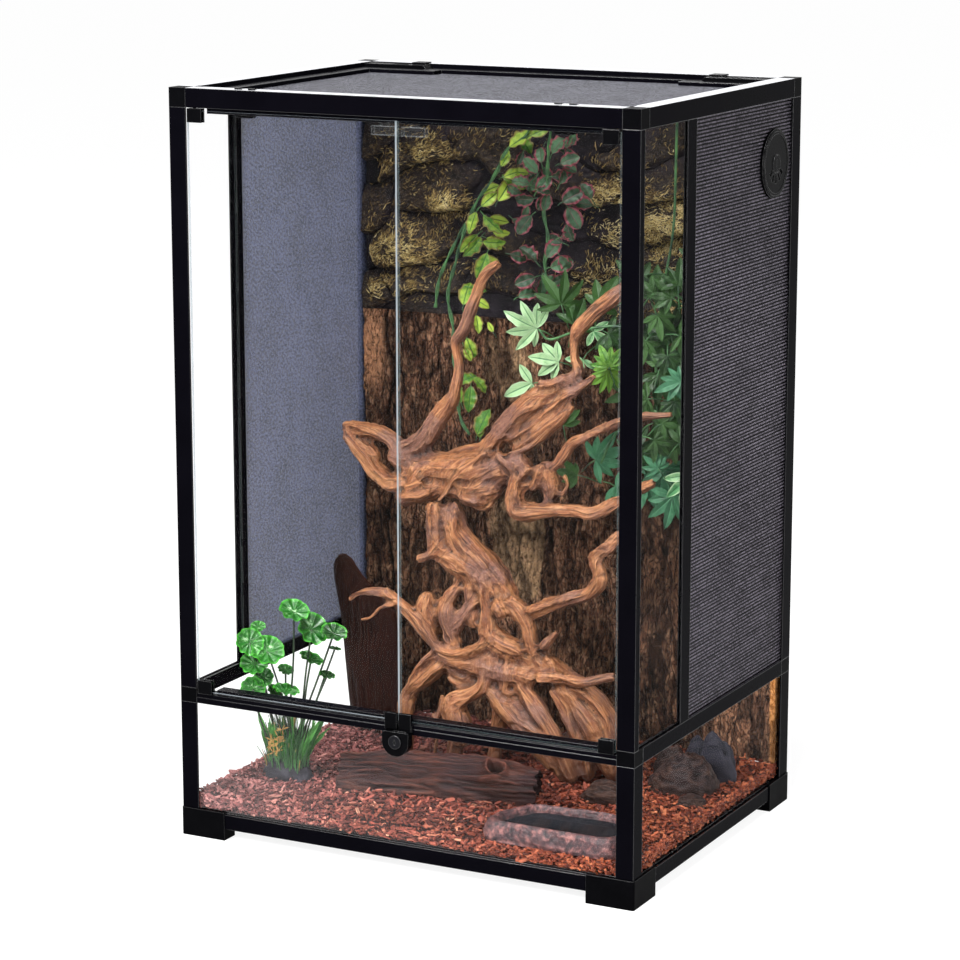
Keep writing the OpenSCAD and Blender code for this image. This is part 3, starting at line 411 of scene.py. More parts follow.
@dataclass(frozen=True)
class RockRelief(Finish):
    """Dark moulded rock: purple-black in the smooth recesses and brown on the lumps."""

    def paint(self, n: Nodes) -> None:
        """Two crusts, pale scratches on the lumps, and shade in the recesses."""
        at, sheet = n.place(), n.sheet()
        lit = n.axis(sheet)
        crust = n.grain(at, 160, 5, 0.68)
        scratch = n.grain(n.place((1, 1, 3.2), (0, 32, 0)), 150, 3, 0.6, 0.8)
        smooth = n.ramp(n.grain(at, 14, 3), (0.35, (0.012, 0.009, 0.014)), (0.65, (0.034, 0.026, 0.036)))
        brown = n.ramp(crust, (0.34, (0.005, 0.003, 0.004)), (0.52, (0.020, 0.014, 0.012)),
                       (0.66, (0.066, 0.046, 0.030)))
        line = n.times(n.span(scratch, 0.56, 0.66), n.span(lit, 0.2, 0.7, 0.08, 0.35))
        base = n.mix(line, n.coats(smooth, (lit, 0.3, 0.6, 1, brown)), (0.17, 0.115, 0.060))
        recess = n.ramp(n.axis(sheet, "Y"), (0.0, (0.10, 0.10, 0.10)), (0.35, (0.7, 0.7, 0.7)),
                        (0.7, (1.1, 1.1, 1.1)))
        n.surface(
            Base_Color=n.mix(1.0, base, recess, Blend.DARKEN),
            Roughness=0.6,
            Specular_IOR_Level=0.2,
            Normal=n.bump(crust, 2.4, 0.8),
        )


@dataclass(frozen=True)
class Fibre(Finish):
    """Short ochre fibres on the rock, each with its own tone from brown to cream."""

    def paint(self, n: Nodes) -> None:
        """The fibre's tone, broken by fine dark grain."""
        fine = n.grain(n.place(), 700, 2)
        base = n.ramp(n.axis(n.sheet()), (0.0, (0.040, 0.024, 0.012)), (0.4, (0.20, 0.125, 0.042)),
                      (0.7, (0.52, 0.38, 0.13)), (1.0, (0.88, 0.74, 0.38)))
        n.surface(
            Base_Color=n.coats(base, (fine, 0.55, 0.4, 0.5, (0.05, 0.03, 0.012))),
            Roughness=0.6,
            Specular_IOR_Level=0.25,
            Normal=n.bump(fine, 0.3, 0.5),
        )


@dataclass(frozen=True)
class CorkBark(Finish):
    """Cork bark: fissured brown with small upright flecks, and pale lichen in places."""

    cut_edge: float = 0.2815

    def paint(self, n: Nodes) -> None:
        """Plates, flecks and cracks, lichen and bare wood, the raw cut edge, painted shade and light on the
        relief, and painted shade at the right.
        """
        at, sheet = n.place(), n.sheet()
        warp = n.add("TexNoise", {"Vector": at, "Scale": 55.0, "Detail": 3.0}).outputs["Color"]
        bent = n.add("VectorMath", {0: warp, 1: (0.012, 0.0, 0.016)}, operation="MULTIPLY").outputs[0]
        moved = n.add("VectorMath", {0: at, 1: bent}, operation="ADD").outputs[0]
        tall = n.stretch(moved, (1, 0.4, 0.42))
        plate = n.add("TexVoronoi", {"Vector": tall, "Scale": 270.0}, feature="F1")
        plate = n.axis(plate.outputs["Color"], "X")
        crack = n.cells(tall, 270, "DISTANCE_TO_EDGE")
        split = n.cells(n.stretch(moved, (1, 0.4, 0.10)), 60, "DISTANCE_TO_EDGE")
        fleck = n.grain(tall, 330, 4, 0.7)
        slab = n.axis(sheet)
        brown = n.ramp(n.grain(at, 10, 3), (0.32, (0.10, 0.048, 0.029)), (0.5, (0.19, 0.092, 0.054)),
                       (0.68, (0.29, 0.145, 0.080)))
        pale = n.ramp(n.grain(at, 30), (0.35, (0.31, 0.18, 0.11)), (0.6, (0.44, 0.27, 0.165)))
        base = n.coats(
            brown,
            (plate, 0.45, 1.0, 0.7, pale),
            (plate, 0.30, 0.0, 0.6, (0.030, 0.016, 0.012)),
            (fleck, 0.48, 0.38, 0.9, (0.012, 0.007, 0.006)),
            (fleck, 0.58, 0.70, 0.6, (0.42, 0.30, 0.21)),
            (crack, 0.10, 0.02, 0.65, (0.014, 0.009, 0.007)),
            (split, 0.035, 0.012, 0.8, (0.010, 0.006, 0.005)),
        )
        lichen = n.times(n.span(slab, 0.52, 0.7), n.span(fleck, 0.38, 0.54, 0.25, 0.95))
        base = n.mix(lichen, base, (0.50, 0.34, 0.195))
        bare = n.times(n.span(slab, 0.30, 0.1), n.span(fleck, 0.38, 0.58, 0.2, 0.9))
        base = n.mix(bare, base, (0.55, 0.29, 0.16))
        right = n.measure("Position", "X")
        raw = n.ramp(fleck, (0.4, (0.30, 0.12, 0.03)), (0.6, (0.62, 0.31, 0.11)))
        base = n.coats(base, (right, self.cut_edge, self.cut_edge + 0.002, 0.9, raw))
        # Painted shade in the fissures and painted light away from them, from the relief's second coordinate.
        shadow = n.ramp(n.axis(sheet, "Y"), (0.0, (0.12, 0.10, 0.10)), (0.4, (0.62, 0.58, 0.56)),
                        (0.8, (1.25, 1.15, 1.08)))
        # Painted shade at the right, stronger higher up.
        gloom = n.times(n.span(right, 0.05, 0.16), n.span(n.measure("Position"), 0.14, 0.3, 0, 0.5))
        n.surface(
            Base_Color=n.mix(gloom, n.mix(1.0, base, shadow, Blend.DARKEN), (0.012, 0.008, 0.007)),
            Roughness=0.8,
            Specular_IOR_Level=0.15,
            Normal=n.bump(n.plus(n.span(crack, 0.0, 0.12), fleck), 2.2, 0.9),
        )


@dataclass(frozen=True)
class OldWood(Finish):
    """Weathered wood with fibres along its length, with painted shade in the hollows and below, and a painted
    highlight on the crests.

    `sheet` holds the way along a limb and the place across it, both in metres. Below the height `sink` the
    wood turns dark.
    """

    kind: str
    crest: Colour
    body: Colour
    hollow: Colour
    flat: Colour
    fibre: float = 1.0
    flat_share: float = 0.5
    cracks: float = 0.55
    shine: float = 0.3
    sink: float = 0.0

    def paint(self, n: Nodes) -> None:
        """Fibres, grey patches and cracks, painted shade in hollows and below, a painted highlight on crests,
        and darker low down.
        """
        at = n.place()
        along = n.sheet((0.09, 1, 1))
        fibre = n.grain(along, 420 * self.fibre, 4, 0.65, 0.4)
        coarse = n.grain(along, 120 * self.fibre, 3, 0.6, 0.5)
        tone = n.plus(n.times(fibre, 0.55), n.times(coarse, 0.45))
        split = n.cells(n.sheet((0.02, 1, 1)), 110 * self.fibre, "DISTANCE_TO_EDGE")
        point = n.add("NewGeometry").outputs["Pointiness"]
        wood = n.coats(
            n.ramp(tone, (0.30, self.hollow), (0.45, self.body), (0.68, self.crest)),
            (n.grain(at, 19, 3), 0.47, 0.59, self.flat_share, self.flat),
            (n.grain(at, 45, 5, 0.6), 0.7, 0.35, 0.3, self.hollow),
            (split, 0.045, 0.012, self.cracks, toned(self.hollow, 0.35)),
            # Painted shade where the surface is closed in or concave, and a painted highlight where it is
            # convex.
            (n.open(14), 0.86, 0.40, 0.92, toned(self.hollow, 0.25)),
            (point, 0.5, 0.42, 0.95, toned(self.hollow, 0.12)),
            (point, 0.51, 0.6, 0.6, toned(self.crest, 1.25)),
            # Painted shade on faces that look down.
            (n.measure("Normal"), 0.1, -0.75, 0.75, toned(self.hollow, 0.7)),
            (n.measure("Position"), self.sink, self.sink - 0.07, 0.8, toned(self.hollow, 0.7)),
        )
        n.surface(
            Base_Color=wood,
            Roughness=n.span(tone, 0.3, 0.7, 0.6, 0.45),
            Specular_IOR_Level=self.shine,
            Normal=n.bump(tone, 1.4, 0.75),
        )


@dataclass(frozen=True)
class BarkChip(Finish):
    """Shredded red bark, with its own shade in every chip and fibres along it."""

    def paint(self, n: Nodes) -> None:
        """Red chips, pinker at the left, partly their own pink and partly a painted pale reflection of the
        glass, and more orange at the right.
        """
        tone = n.axis(n.sheet())
        fibre = n.grain(n.sheet((0.12, 1, 0.4)), 700, 3)
        side = n.axis(n.place(), "X")
        red = n.ramp(tone, (0.0, (0.020, 0.005, 0.004)), (0.3, (0.105, 0.022, 0.015)),
                     (0.62, (0.31, 0.070, 0.045)), (0.9, (0.55, 0.19, 0.115)), (1.0, (0.75, 0.42, 0.26)))
        pink = n.ramp(tone, (0.0, (0.04, 0.014, 0.015)), (0.4, (0.24, 0.080, 0.080)),
                      (0.85, (0.52, 0.25, 0.24)))
        orange = n.ramp(tone, (0.0, (0.022, 0.004, 0.003)), (0.4, (0.20, 0.036, 0.013)),
                        (0.9, (0.55, 0.16, 0.055)))
        base = n.coats(
            red,
            # Pinker at the left: partly the chips' own pink, partly a painted reflection of the front glass.
            (side, -0.05, -0.25, 0.75, pink),
            (side, 0.0, 0.22, 0.7, orange),
            (fibre, 0.55, 0.35, 0.6, (0.03, 0.009, 0.006)),
        )
        n.surface(Base_Color=base, Roughness=0.7, Specular_IOR_Level=0.25, Normal=n.bump(fibre, 0.5, 0.6))


@dataclass(frozen=True)
class DishResin(Finish):
    """Cast resin made to look like purple-grey rock, with a painted highlight on its crests and painted shade
    in its hollows.

    The tone in `sheet` is 1 in the basin and 0 outside it.
    """

    def paint(self, n: Nodes) -> None:
        """Crusty rock outside with painted highlights and shade, and a plain dark basin."""
        at = n.place()
        crust = n.grain(at, 120, 6, 0.7)
        point = n.add("NewGeometry").outputs["Pointiness"]
        basin = n.ramp(crust, (0.3, (0.010, 0.011, 0.014)), (0.7, (0.026, 0.027, 0.034)))
        base = n.coats(
            n.ramp(crust, (0.36, (0.006, 0.003, 0.005)), (0.5, (0.050, 0.018, 0.021)),
                   (0.66, (0.24, 0.095, 0.083))),
            # A painted highlight on convex crests, then painted shade where the surface is closed in or
            # concave.
            (point, 0.51, 0.57, 0.5, (0.24, 0.12, 0.105)),
            (n.open(14), 0.85, 0.45, 0.85, (0.008, 0.004, 0.006)),
            (point, 0.5, 0.45, 0.8, (0.010, 0.007, 0.009)),
            (n.axis(n.sheet()), 0.4, 0.6, 1, basin),
        )
        n.surface(Base_Color=base, Roughness=0.55, Normal=n.bump(n.plus(crust, n.cells(at, 160)), 1.2, 0.7))


@dataclass(frozen=True)
class StillWater(Finish):
    """Dark still water over the basin."""

    def paint(self, n: Nodes) -> None:
        """Near-black with a faint ripple."""
        ripple = n.grain(n.place(), 30, 2)
        n.surface(
            Base_Color=n.ramp(ripple, (0.3, (0.006, 0.007, 0.009)), (0.7, (0.014, 0.016, 0.020))),
            Roughness=0.08,
            Specular_IOR_Level=0.02,
            Normal=n.bump(ripple, 0.4, 0.2),
        )


@dataclass(frozen=True)
class Leaf(Finish):
    """A leaf with a rib, side veins and a margin.

    `sheet` holds the way along the blade, the way across it from -1 to 1, and the blade's tone.
    """

    kind: str
    blade: Colour
    pale: Colour
    rib: Colour
    margin: Colour
    margin_at: float = 0.8
    rib_width: float = 0.12
    veins: float = 9.0
    shine: float = 0.4

    def paint(self, n: Nodes) -> None:
        """Two greens, veins, margin and rib."""
        sheet = n.sheet()
        along, across, tone = (n.axis(sheet, name) for name in "XYZ")
        off = n.math("ABSOLUTE", across)
        patch = n.grain(n.place(), 130, 4, 0.6)
        slant = n.math("SUBTRACT", along, n.times(off, 0.35))
        vein = n.math("ABSOLUTE", n.math("SINE", n.times(slant, self.veins * math.pi)))
        base = n.coats(
            self.blade,
            (n.plus(patch, n.times(tone, 0.6)), 0.55, 0.95, 1, self.pale),
            (vein, 0.25, 0.05, 0.5, self.rib),
            (n.plus(off, n.times(patch, 0.25)), self.margin_at, self.margin_at + 0.2, 1, self.margin),
            (off, self.rib_width, self.rib_width * 0.4, 0.9, self.rib),
        )
        n.surface(
            Base_Color=base,
            Roughness=0.42,
            Specular_IOR_Level=self.shine,
            Subsurface_Weight=0.12,
            Subsurface_Radius=(0.004, 0.006, 0.002),
            Subsurface_Scale=0.5,
            Normal=n.bump(n.plus(n.span(off, 0.0, 0.2), n.times(n.span(vein, 0, 0.4), 0.4)), 0.8, 0.6),
        )


@dataclass(frozen=True)
class PadLeaf(Finish):
    """A bright round leaf with pale rays and flecks.

    `sheet` holds the turn in lobes, the way out from the middle, and the leaf's tone.
    """

    def paint(self, n: Nodes) -> None:
        """Mottled green with rays, flecks and a bright rim."""
        sheet = n.sheet()
        turn, out, tone = (n.axis(sheet, name) for name in "XYZ")
        ray = n.math("ABSOLUTE", n.math("SINE", turn))
        patch = n.grain(n.place(), 170, 4, 0.65)
        base = n.ramp(n.plus(n.times(patch, 0.7), n.times(tone, 0.3)), (0.3, (0.002, 0.026, 0.003)),
                      (0.5, (0.006, 0.080, 0.006)), (0.75, (0.028, 0.22, 0.016)))
        rays = n.times(n.span(ray, 0.16, 0.02), n.span(out, 0.9, 0.2, 0, 0.7))
        flecks = n.times(n.span(patch, 0.56, 0.64), n.span(out, 1.0, 0.2))
        base = n.mix(flecks, n.mix(rays, base, (0.20, 0.42, 0.15)), (0.34, 0.52, 0.30))
        n.surface(
            Base_Color=n.coats(base, (out, 0.84, 1.0, 0.7, (0.07, 0.42, 0.03))),
            Roughness=0.35,
            Specular_IOR_Level=0.45,
            Normal=n.bump(n.plus(ray, patch), 1.0, 0.6),
        )


@dataclass(frozen=True)
class Stem(Finish):
    """A green stem, darker in patches."""

    kind: str = "stem"
    light: Colour = (0.07, 0.20, 0.06)
    dark: Colour = (0.012, 0.045, 0.02)

    def paint(self, n: Nodes) -> None:
        """Patches of two tones over a fine grain."""
        at = n.place()
        n.surface(
            Base_Color=n.ramp(n.grain(at, 60, 4), (0.35, self.dark), (0.65, self.light)),
            Roughness=0.4,
            Normal=n.bump(n.grain(at, 900, 2), 0.2, 0.4),
        )


DRIFT_WOOD = OldWood(
    "drift", (0.60, 0.29, 0.125), (0.26, 0.092, 0.038), (0.070, 0.022, 0.011), (0.17, 0.085, 0.068),
    flat_share=0.75, sink=0.135)
SLAB_WOOD = OldWood(
    "slab", (0.075, 0.026, 0.015), (0.024, 0.008, 0.006), (0.005, 0.002, 0.002), (0.030, 0.014, 0.010),
    fibre=0.55, flat_share=0.6, shine=0.08)
LOG_WOOD = OldWood(
    "log", (0.15, 0.052, 0.034), (0.036, 0.013, 0.011), (0.005, 0.002, 0.002), (0.026, 0.013, 0.015),
    fibre=0.7, flat_share=0.75, shine=0.1)
COBBLE = OldWood(
    "cobble", (0.085, 0.045, 0.032), (0.026, 0.013, 0.011), (0.005, 0.003, 0.003), (0.018, 0.013, 0.015),
    fibre=0.8, flat_share=0.7, shine=0.1)
COBBLE_DARK = OldWood(
    "weight", (0.050, 0.048, 0.064), (0.018, 0.017, 0.025), (0.005, 0.005, 0.008), (0.020, 0.018, 0.025),
    fibre=0.5, shine=0.12)
VINE_LEAF = Leaf(
    "vine", (0.050, 0.17, 0.015), (0.36, 0.50, 0.055), (0.018, 0.085, 0.012), (0.17, 0.13, 0.03), 0.80, 0.13)
RED_LEAF = Leaf(
    "red", (0.009, 0.042, 0.017), (0.060, 0.15, 0.070), (0.10, 0.05, 0.045), (0.22, 0.040, 0.060), 0.76, 0.07,
    7.0)
STAR_LEAVES = (
    Leaf("deep", (0.005, 0.028, 0.006), (0.034, 0.095, 0.018), (0.045, 0.12, 0.03), (0.006, 0.034, 0.009),
         1.05, 0.08),
    Leaf("pale", (0.050, 0.21, 0.070), (0.34, 0.53, 0.27), (0.02, 0.13, 0.04), (0.38, 0.55, 0.31), 0.8),
    Leaf("teal", (0.012, 0.080, 0.032), (0.060, 0.22, 0.105), (0.10, 0.28, 0.15), (0.05, 0.19, 0.09),
         0.95, 0.09),
    Leaf("fern", (0.030, 0.14, 0.012), (0.17, 0.36, 0.04), (0.03, 0.12, 0.01), (0.22, 0.42, 0.06), 0.95),
)
SEDGE_LEAF = Leaf(
    "sedge", (0.020, 0.14, 0.018), (0.10, 0.36, 0.06), (0.04, 0.22, 0.03), (0.12, 0.36, 0.08), 0.9, 0.1)


def unit(vectors: np.ndarray) -> np.ndarray:
    """Vectors made one long."""
    return vectors / (np.linalg.norm(vectors, axis=-1, keepdims=True) + 1e-12)


def arc(path: np.ndarray) -> np.ndarray:
    """The way along a path at each of its points."""
    return np.concatenate([[0], np.cumsum(np.linalg.norm(np.diff(path, axis=0), axis=1))])


def upright(x: np.ndarray, z: np.ndarray) -> np.ndarray:
    """Points in the plane y = 0."""
    return np.stack([x, np.zeros_like(x), z], axis=-1)


def level_ring(centre: np.ndarray, angles: np.ndarray, radii: np.ndarray, height: float) -> np.ndarray:
    """Points at one height round a centre."""
    x, y = centre[0] + radii * np.cos(angles), centre[1] + radii * np.sin(angles)
    return np.stack([x, y, np.full_like(angles, height)], axis=-1)


def dome(around: int, rows: int, lowest: float) -> np.ndarray:
    """Points on a ball of radius 1, in rows from a lowest angle to the top."""
    turn, lift = np.meshgrid(np.linspace(0, TURN, around), np.linspace(lowest, math.pi / 2, rows))
    return np.stack([np.cos(turn) * np.cos(lift), np.sin(turn) * np.cos(lift), np.sin(lift)], axis=-1)


def lattice(cell: np.ndarray) -> np.ndarray:
    """Gives every cell of whole numbers a fixed value from 0 to 1."""
    mixed = (cell[..., 0] * 73856093) ^ (cell[..., 1] * 19349663) ^ (cell[..., 2] * 83492791)
    mixed = ((mixed ^ (mixed >> 13)) * 1274126177) & 0x7FFFFFFF
    return ((mixed ^ (mixed >> 16)) % 65536) / 65535.0


def swell(points: np.ndarray, scale: Row | float, octaves: int = 4) -> np.ndarray:
    """Fractal noise on points.

    Args:
        points: An array whose last axis is x, y, z.
        scale: How much the axes are stretched.
        octaves: How many layers are added, each with half the weight of the one before.

    Returns:
        A value of about 0 to 1 for each point.
    """
    total, weight, level = 0.0, 0.0, 1.0
    base = points * np.asarray(scale, float)
    for octave in range(octaves):
        place = base * 2.0**octave + 17.3 * (octave + 1)
        cell = np.floor(place).astype(np.int64)
        part = place - cell
        part = part * part * (3 - 2 * part)
        value = 0.0
        for corner in np.ndindex(2, 2, 2):
            share = np.prod(np.where(np.array(corner) == 1, part, 1 - part), axis=-1)
            value = value + share * lattice(cell + np.array(corner))
        total = total + level * value
        weight += level
        level *= 0.5
    return total / weight


def ridged(points: np.ndarray, scale: Row | float, octaves: int = 3) -> np.ndarray:
    """Noise with sharp crests, from 0 to 1."""
    return 1 - np.abs(2 * swell(points, scale, octaves) - 1)


def smooth_line(rows: Sequence[Row], step: float) -> np.ndarray:
    """A smooth line through rows of x, y, z and radius in millimetres.

    Args:
        rows: The points that it passes.
        step: The distance between its points, in metres.

    Returns:
        Rows of x, y, z and radius in metres.
    """
    knots = np.array([(*spot(*row[:3]), row[3] * MM) for row in rows])
    knots = np.vstack([2 * knots[0] - knots[1], knots, 2 * knots[-1] - knots[-2]])
    line = []
    for i in range(1, len(knots) - 2):
        a, b, c, d = knots[i - 1:i + 3]
        count = max(2, int(np.linalg.norm((c - b)[:3]) / step))
        for t in np.arange(count) / count:
            curve = 2 * b + (c - a) * t + (2 * a - 5 * b + 4 * c - d) * t**2
            line.append((curve + (3 * b - a - 3 * c + d) * t**3) / 2)
    line = np.array([*line, knots[-2]])
    line[:, 3] = np.maximum(line[:, 3], 1.2 * MM)
    return line


@dataclass
class Shell:
    """Vertices, faces and surface coordinates gathered for one piece."""

    verts: list[np.ndarray] = field(default_factory=list)
    faces: list[tuple[int, ...]] = field(default_factory=list)
    coords: list[np.ndarray] = field(default_factory=list)
    count: int = 0

    def add(self, verts: np.ndarray, faces: Iterable[Row], coords: np.ndarray | None = None) -> None:
        """Adds a patch.

        Args:
            verts: Points, the last axis x, y, z.
            faces: Tuples of indices into verts.
            coords: Along, across and tone for each point, or none.
        """
        base = self.count
        self.verts.append(np.asarray(verts, float).reshape(-1, 3))
        count = len(self.verts[-1])
        coords = np.zeros((count, 3)) if coords is None else np.asarray(coords, float)
        self.coords.append(coords.reshape(-1, 3))
        self.faces.extend(tuple(int(i) + base for i in face) for face in faces)
        self.count += count

    def repeat(self, blocks: np.ndarray, faces: Sequence[Row], coords: np.ndarray | None = None) -> None:
        """Adds many blocks of points that share one pattern of faces.

        Args:
            blocks: Their points, the first axis one row for each block.
            faces: The faces of one block.
            coords: Along, across and tone in the same layout, or none.
        """
        each = blocks[0].size // 3
        every = [[i + each * k for i in face] for k in range(len(blocks)) for face in faces]
        self.add(blocks, every, coords)

    def tube(self, path: np.ndarray, radii: Row, sides: int = 8, tone: float = 0.5) -> None:
        """Adds a closed tube along a path.

        Args:
            path: The points of its middle line.
            radii: Its radius at each point.
            sides: How many sides the tube has.
            tone: The tone of the whole tube.
        """
        ahead = unit(np.gradient(path, axis=0))
        side = unit(np.cross(ahead[0], (0.31, 0.17, 0.93)))
        angle = np.arange(sides) * TURN / sides
        rings = []
        for point, axis, radius in zip(path, ahead, radii):
            side = unit(side - axis * side.dot(axis))
            around = np.outer(np.cos(angle), side) + np.outer(np.sin(angle), np.cross(axis, side))
            rings.append(point + radius * around)
        coords = np.stack(np.broadcast_arrays(arc(path)[:, None], angle / TURN, tone), axis=-1)
        ring, k = np.arange(len(path) - 1)[:, None] * sides, np.arange(sides)
        follow = (k + 1) % sides
        quads = np.stack([ring + k, ring + follow, ring + sides + follow, ring + sides + k], axis=-1)
        last = (len(path) - 1) * sides
        caps = [range(sides - 1, -1, -1), range(last, last + sides)]
        self.add(np.vstack(rings), [*quads.reshape(-1, 4), *caps], coords)

    def grid(self, points: np.ndarray, coords: np.ndarray | None = None, flip: bool = False) -> None:
        """Adds a sheet of quads.

        Args:
            points: An array of rows by columns by 3.
            coords: Along, across and tone in the same layout, or none.
            flip: True to turn the faces over.
        """
        rows, cols = points.shape[:2]
        first = (np.arange(rows - 1)[:, None] * cols + np.arange(cols - 1)).ravel()
        quads = np.stack([first, first + 1, first + cols + 1, first + cols], axis=-1)
        self.add(points, quads[:, ::-1] if flip else quads, coords)

    def skirt(self, face: np.ndarray, coords: np.ndarray, axis: int, level: float, steps: Row,
              flip: bool = False) -> None:
        """Closes the four sides of a sheet down to a level.

        Args:
            face: The points of the sheet, rows by columns by 3.
            coords: Its surface coordinates in the same layout.
            axis: The axis along which the sides run.
            level: Where on that axis they end.
            steps: The shares of the way at which they have points.
            flip: True to turn the faces over.
        """
        for side in (np.s_[:, 0], np.s_[::-1, -1], np.s_[0, ::-1], np.s_[-1]):
            foot = face[side].copy()
            foot[:, axis] = level
            strip = np.stack([face[side] + (foot - face[side]) * t for t in steps])
            self.grid(strip, np.stack([coords[side]] * len(steps)), flip)

    def piece(self, name: str, finish: Finish, slot: str, stands_for: Names = (), smooth: bool = True,
              body: str = "root") -> None:
        """Makes a piece of what was gathered, as `settle` does with a mesh."""
        mesh = bpy.data.meshes.new(name)
        mesh.from_pydata(np.vstack(self.verts).tolist(), [], self.faces)
        mesh.validate()
        settle(name, mesh, np.vstack(self.coords), finish, stands_for, smooth, body)


def settle(name: str, mesh: bpy.types.Mesh, coords: np.ndarray, finish: Finish,
           stands_for: Names = (), smooth: bool = True, body: str = "root") -> None:
    """Turns a mesh into a finished piece that rides on its body and hides the nodes it stands for.

    Args:
        name: The piece's name.
        mesh: Its mesh.
        coords: Along, across and tone for each of its points.
        finish: Its finish.
        stands_for: The nodes that it replaces.
        smooth: True for smooth shading.
        body: The body that it rides on.
    """
    mesh.polygons.foreach_set("use_smooth", [smooth] * len(mesh.polygons))
    layer = mesh.attributes.new("sheet", "FLOAT_VECTOR", "POINT")
    layer.data.foreach_set("vector", coords.astype(np.float32).ravel())
    mesh.materials.clear()
    mesh.materials.append(finish.material)
    made = placed(name, mesh)
    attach(made, body)
    if stands_for:
        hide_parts(*stands_for)
    LOG.info("%s: %d faces on %s", name, len(mesh.polygons), body)


def dress(finish: Finish, *names: str) -> None:
    """Gives carried-over nodes a finish."""
    for name in names:
        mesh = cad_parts[name].data
        mesh.materials.clear()
        mesh.materials.append(finish.material)
        LOG.info("%s: dressed in %s", name, finish.material.name)


@dataclass
class Studio:
    """The camera at the photograph's angle, soft lamps, and a white floor and surround."""

    camera_mm: Row = (1681.0, -3284.4, 1211.2)
    pitch: float = 12.061
    yaw: float = 27.302
    lens: float = 117.51
    floor_half: float = 30.0
    floor_glow: float = 1.22
    floor_share: float = 0.72
    ambient: float = 0.45

    def camera(self) -> None:
        """Makes the camera."""
        data = bpy.data.cameras.new("camera")
        data.lens = self.lens
        data.sensor_width = 36.0
        data.clip_end = 200.0
        camera = placed("camera", data)
        camera.location = spot(*self.camera_mm)
        camera.rotation_euler = (math.radians(90 - self.pitch), 0, math.radians(self.yaw))
        bpy.context.scene.camera = camera

    def lamp(self, name: str, place: Row, aim: Row, size: float, watts: float) -> None:
        """Adds a square soft box.

        Args:
            name: The lamp's name.
            place: Where it hangs, in metres.
            aim: The point that it faces, in metres.
            size: The length of its side.
            watts: Its power.
        """
        data = bpy.data.lights.new(name, "AREA")
        data.size = size
        data.energy = watts
        lamp = placed(name, data)
        lamp.location = place
        lamp.rotation_euler = (Vector(aim) - Vector(place)).to_track_quat("-Z", "Y").to_euler()

    def seen_white(self, n: Nodes) -> Socket:
        """A factor of 1 where a camera, gloss or see-through ray looks."""
        path = n.add("LightPath").outputs
        glossy = n.math("MAXIMUM", path["Is Camera Ray"], path["Is Glossy Ray"])
        return n.math("MAXIMUM", glossy, path["Is Transmission Ray"])

    def surround(self) -> None:
        """Makes the world: white to look at, and dimmer as a light."""
        world = bpy.data.worlds.new("surround")
        bpy.context.scene.world = world
        n = Nodes(world)
        level = n.span(self.seen_white(n), 0, 1, self.ambient, 1)
        back = n.add("Background", {"Color": (1, 1, 1, 1), "Strength": level})
        n.add("OutputWorld", {"Surface": back.outputs[0]})

    def floor(self) -> None:
        """Makes the pale floor, which keeps the object's shadow."""
        material = bpy.data.materials.new("floor")
        n = Nodes(material)
        inputs = {"Base Color": (0.85, 0.85, 0.85, 1), "Roughness": 0.9, "Specular IOR Level": 0.0}
        pale = n.add("BsdfPrincipled", inputs)
        white = n.add("Emission", {"Strength": self.floor_glow})
        share = n.times(self.seen_white(n), self.floor_share)
        mixed = n.add("MixShader", {0: share, 1: pale.outputs[0], 2: white.outputs[0]})
        n.add("OutputMaterial", {"Surface": mixed.outputs[0]})
        mesh = bpy.data.meshes.new("floor")
        half = self.floor_half
        corners = [(-half, -half, 0), (half, -half, 0), (half, half, 0), (-half, half, 0)]
        mesh.from_pydata(corners, [], [(0, 1, 2, 3)])
        mesh.materials.append(material)
        placed("floor", mesh)

    def build(self) -> None:
        """Sets up the whole studio."""
        bpy.context.scene.view_settings.view_transform = "Standard"
        self.camera()
        self.surround()
        self.floor()
        aim = (0, 0, 0.45)
        self.lamp("key", (-1.2, -3.1, 2.5), aim, 0.8, 165)
        self.lamp("fill", (2.6, -2.4, 1.3), aim, 1.4, 50)
        self.lamp("top", (0.1, -0.7, 2.7), (0, 0.05, 0.4), 0.9, 120)


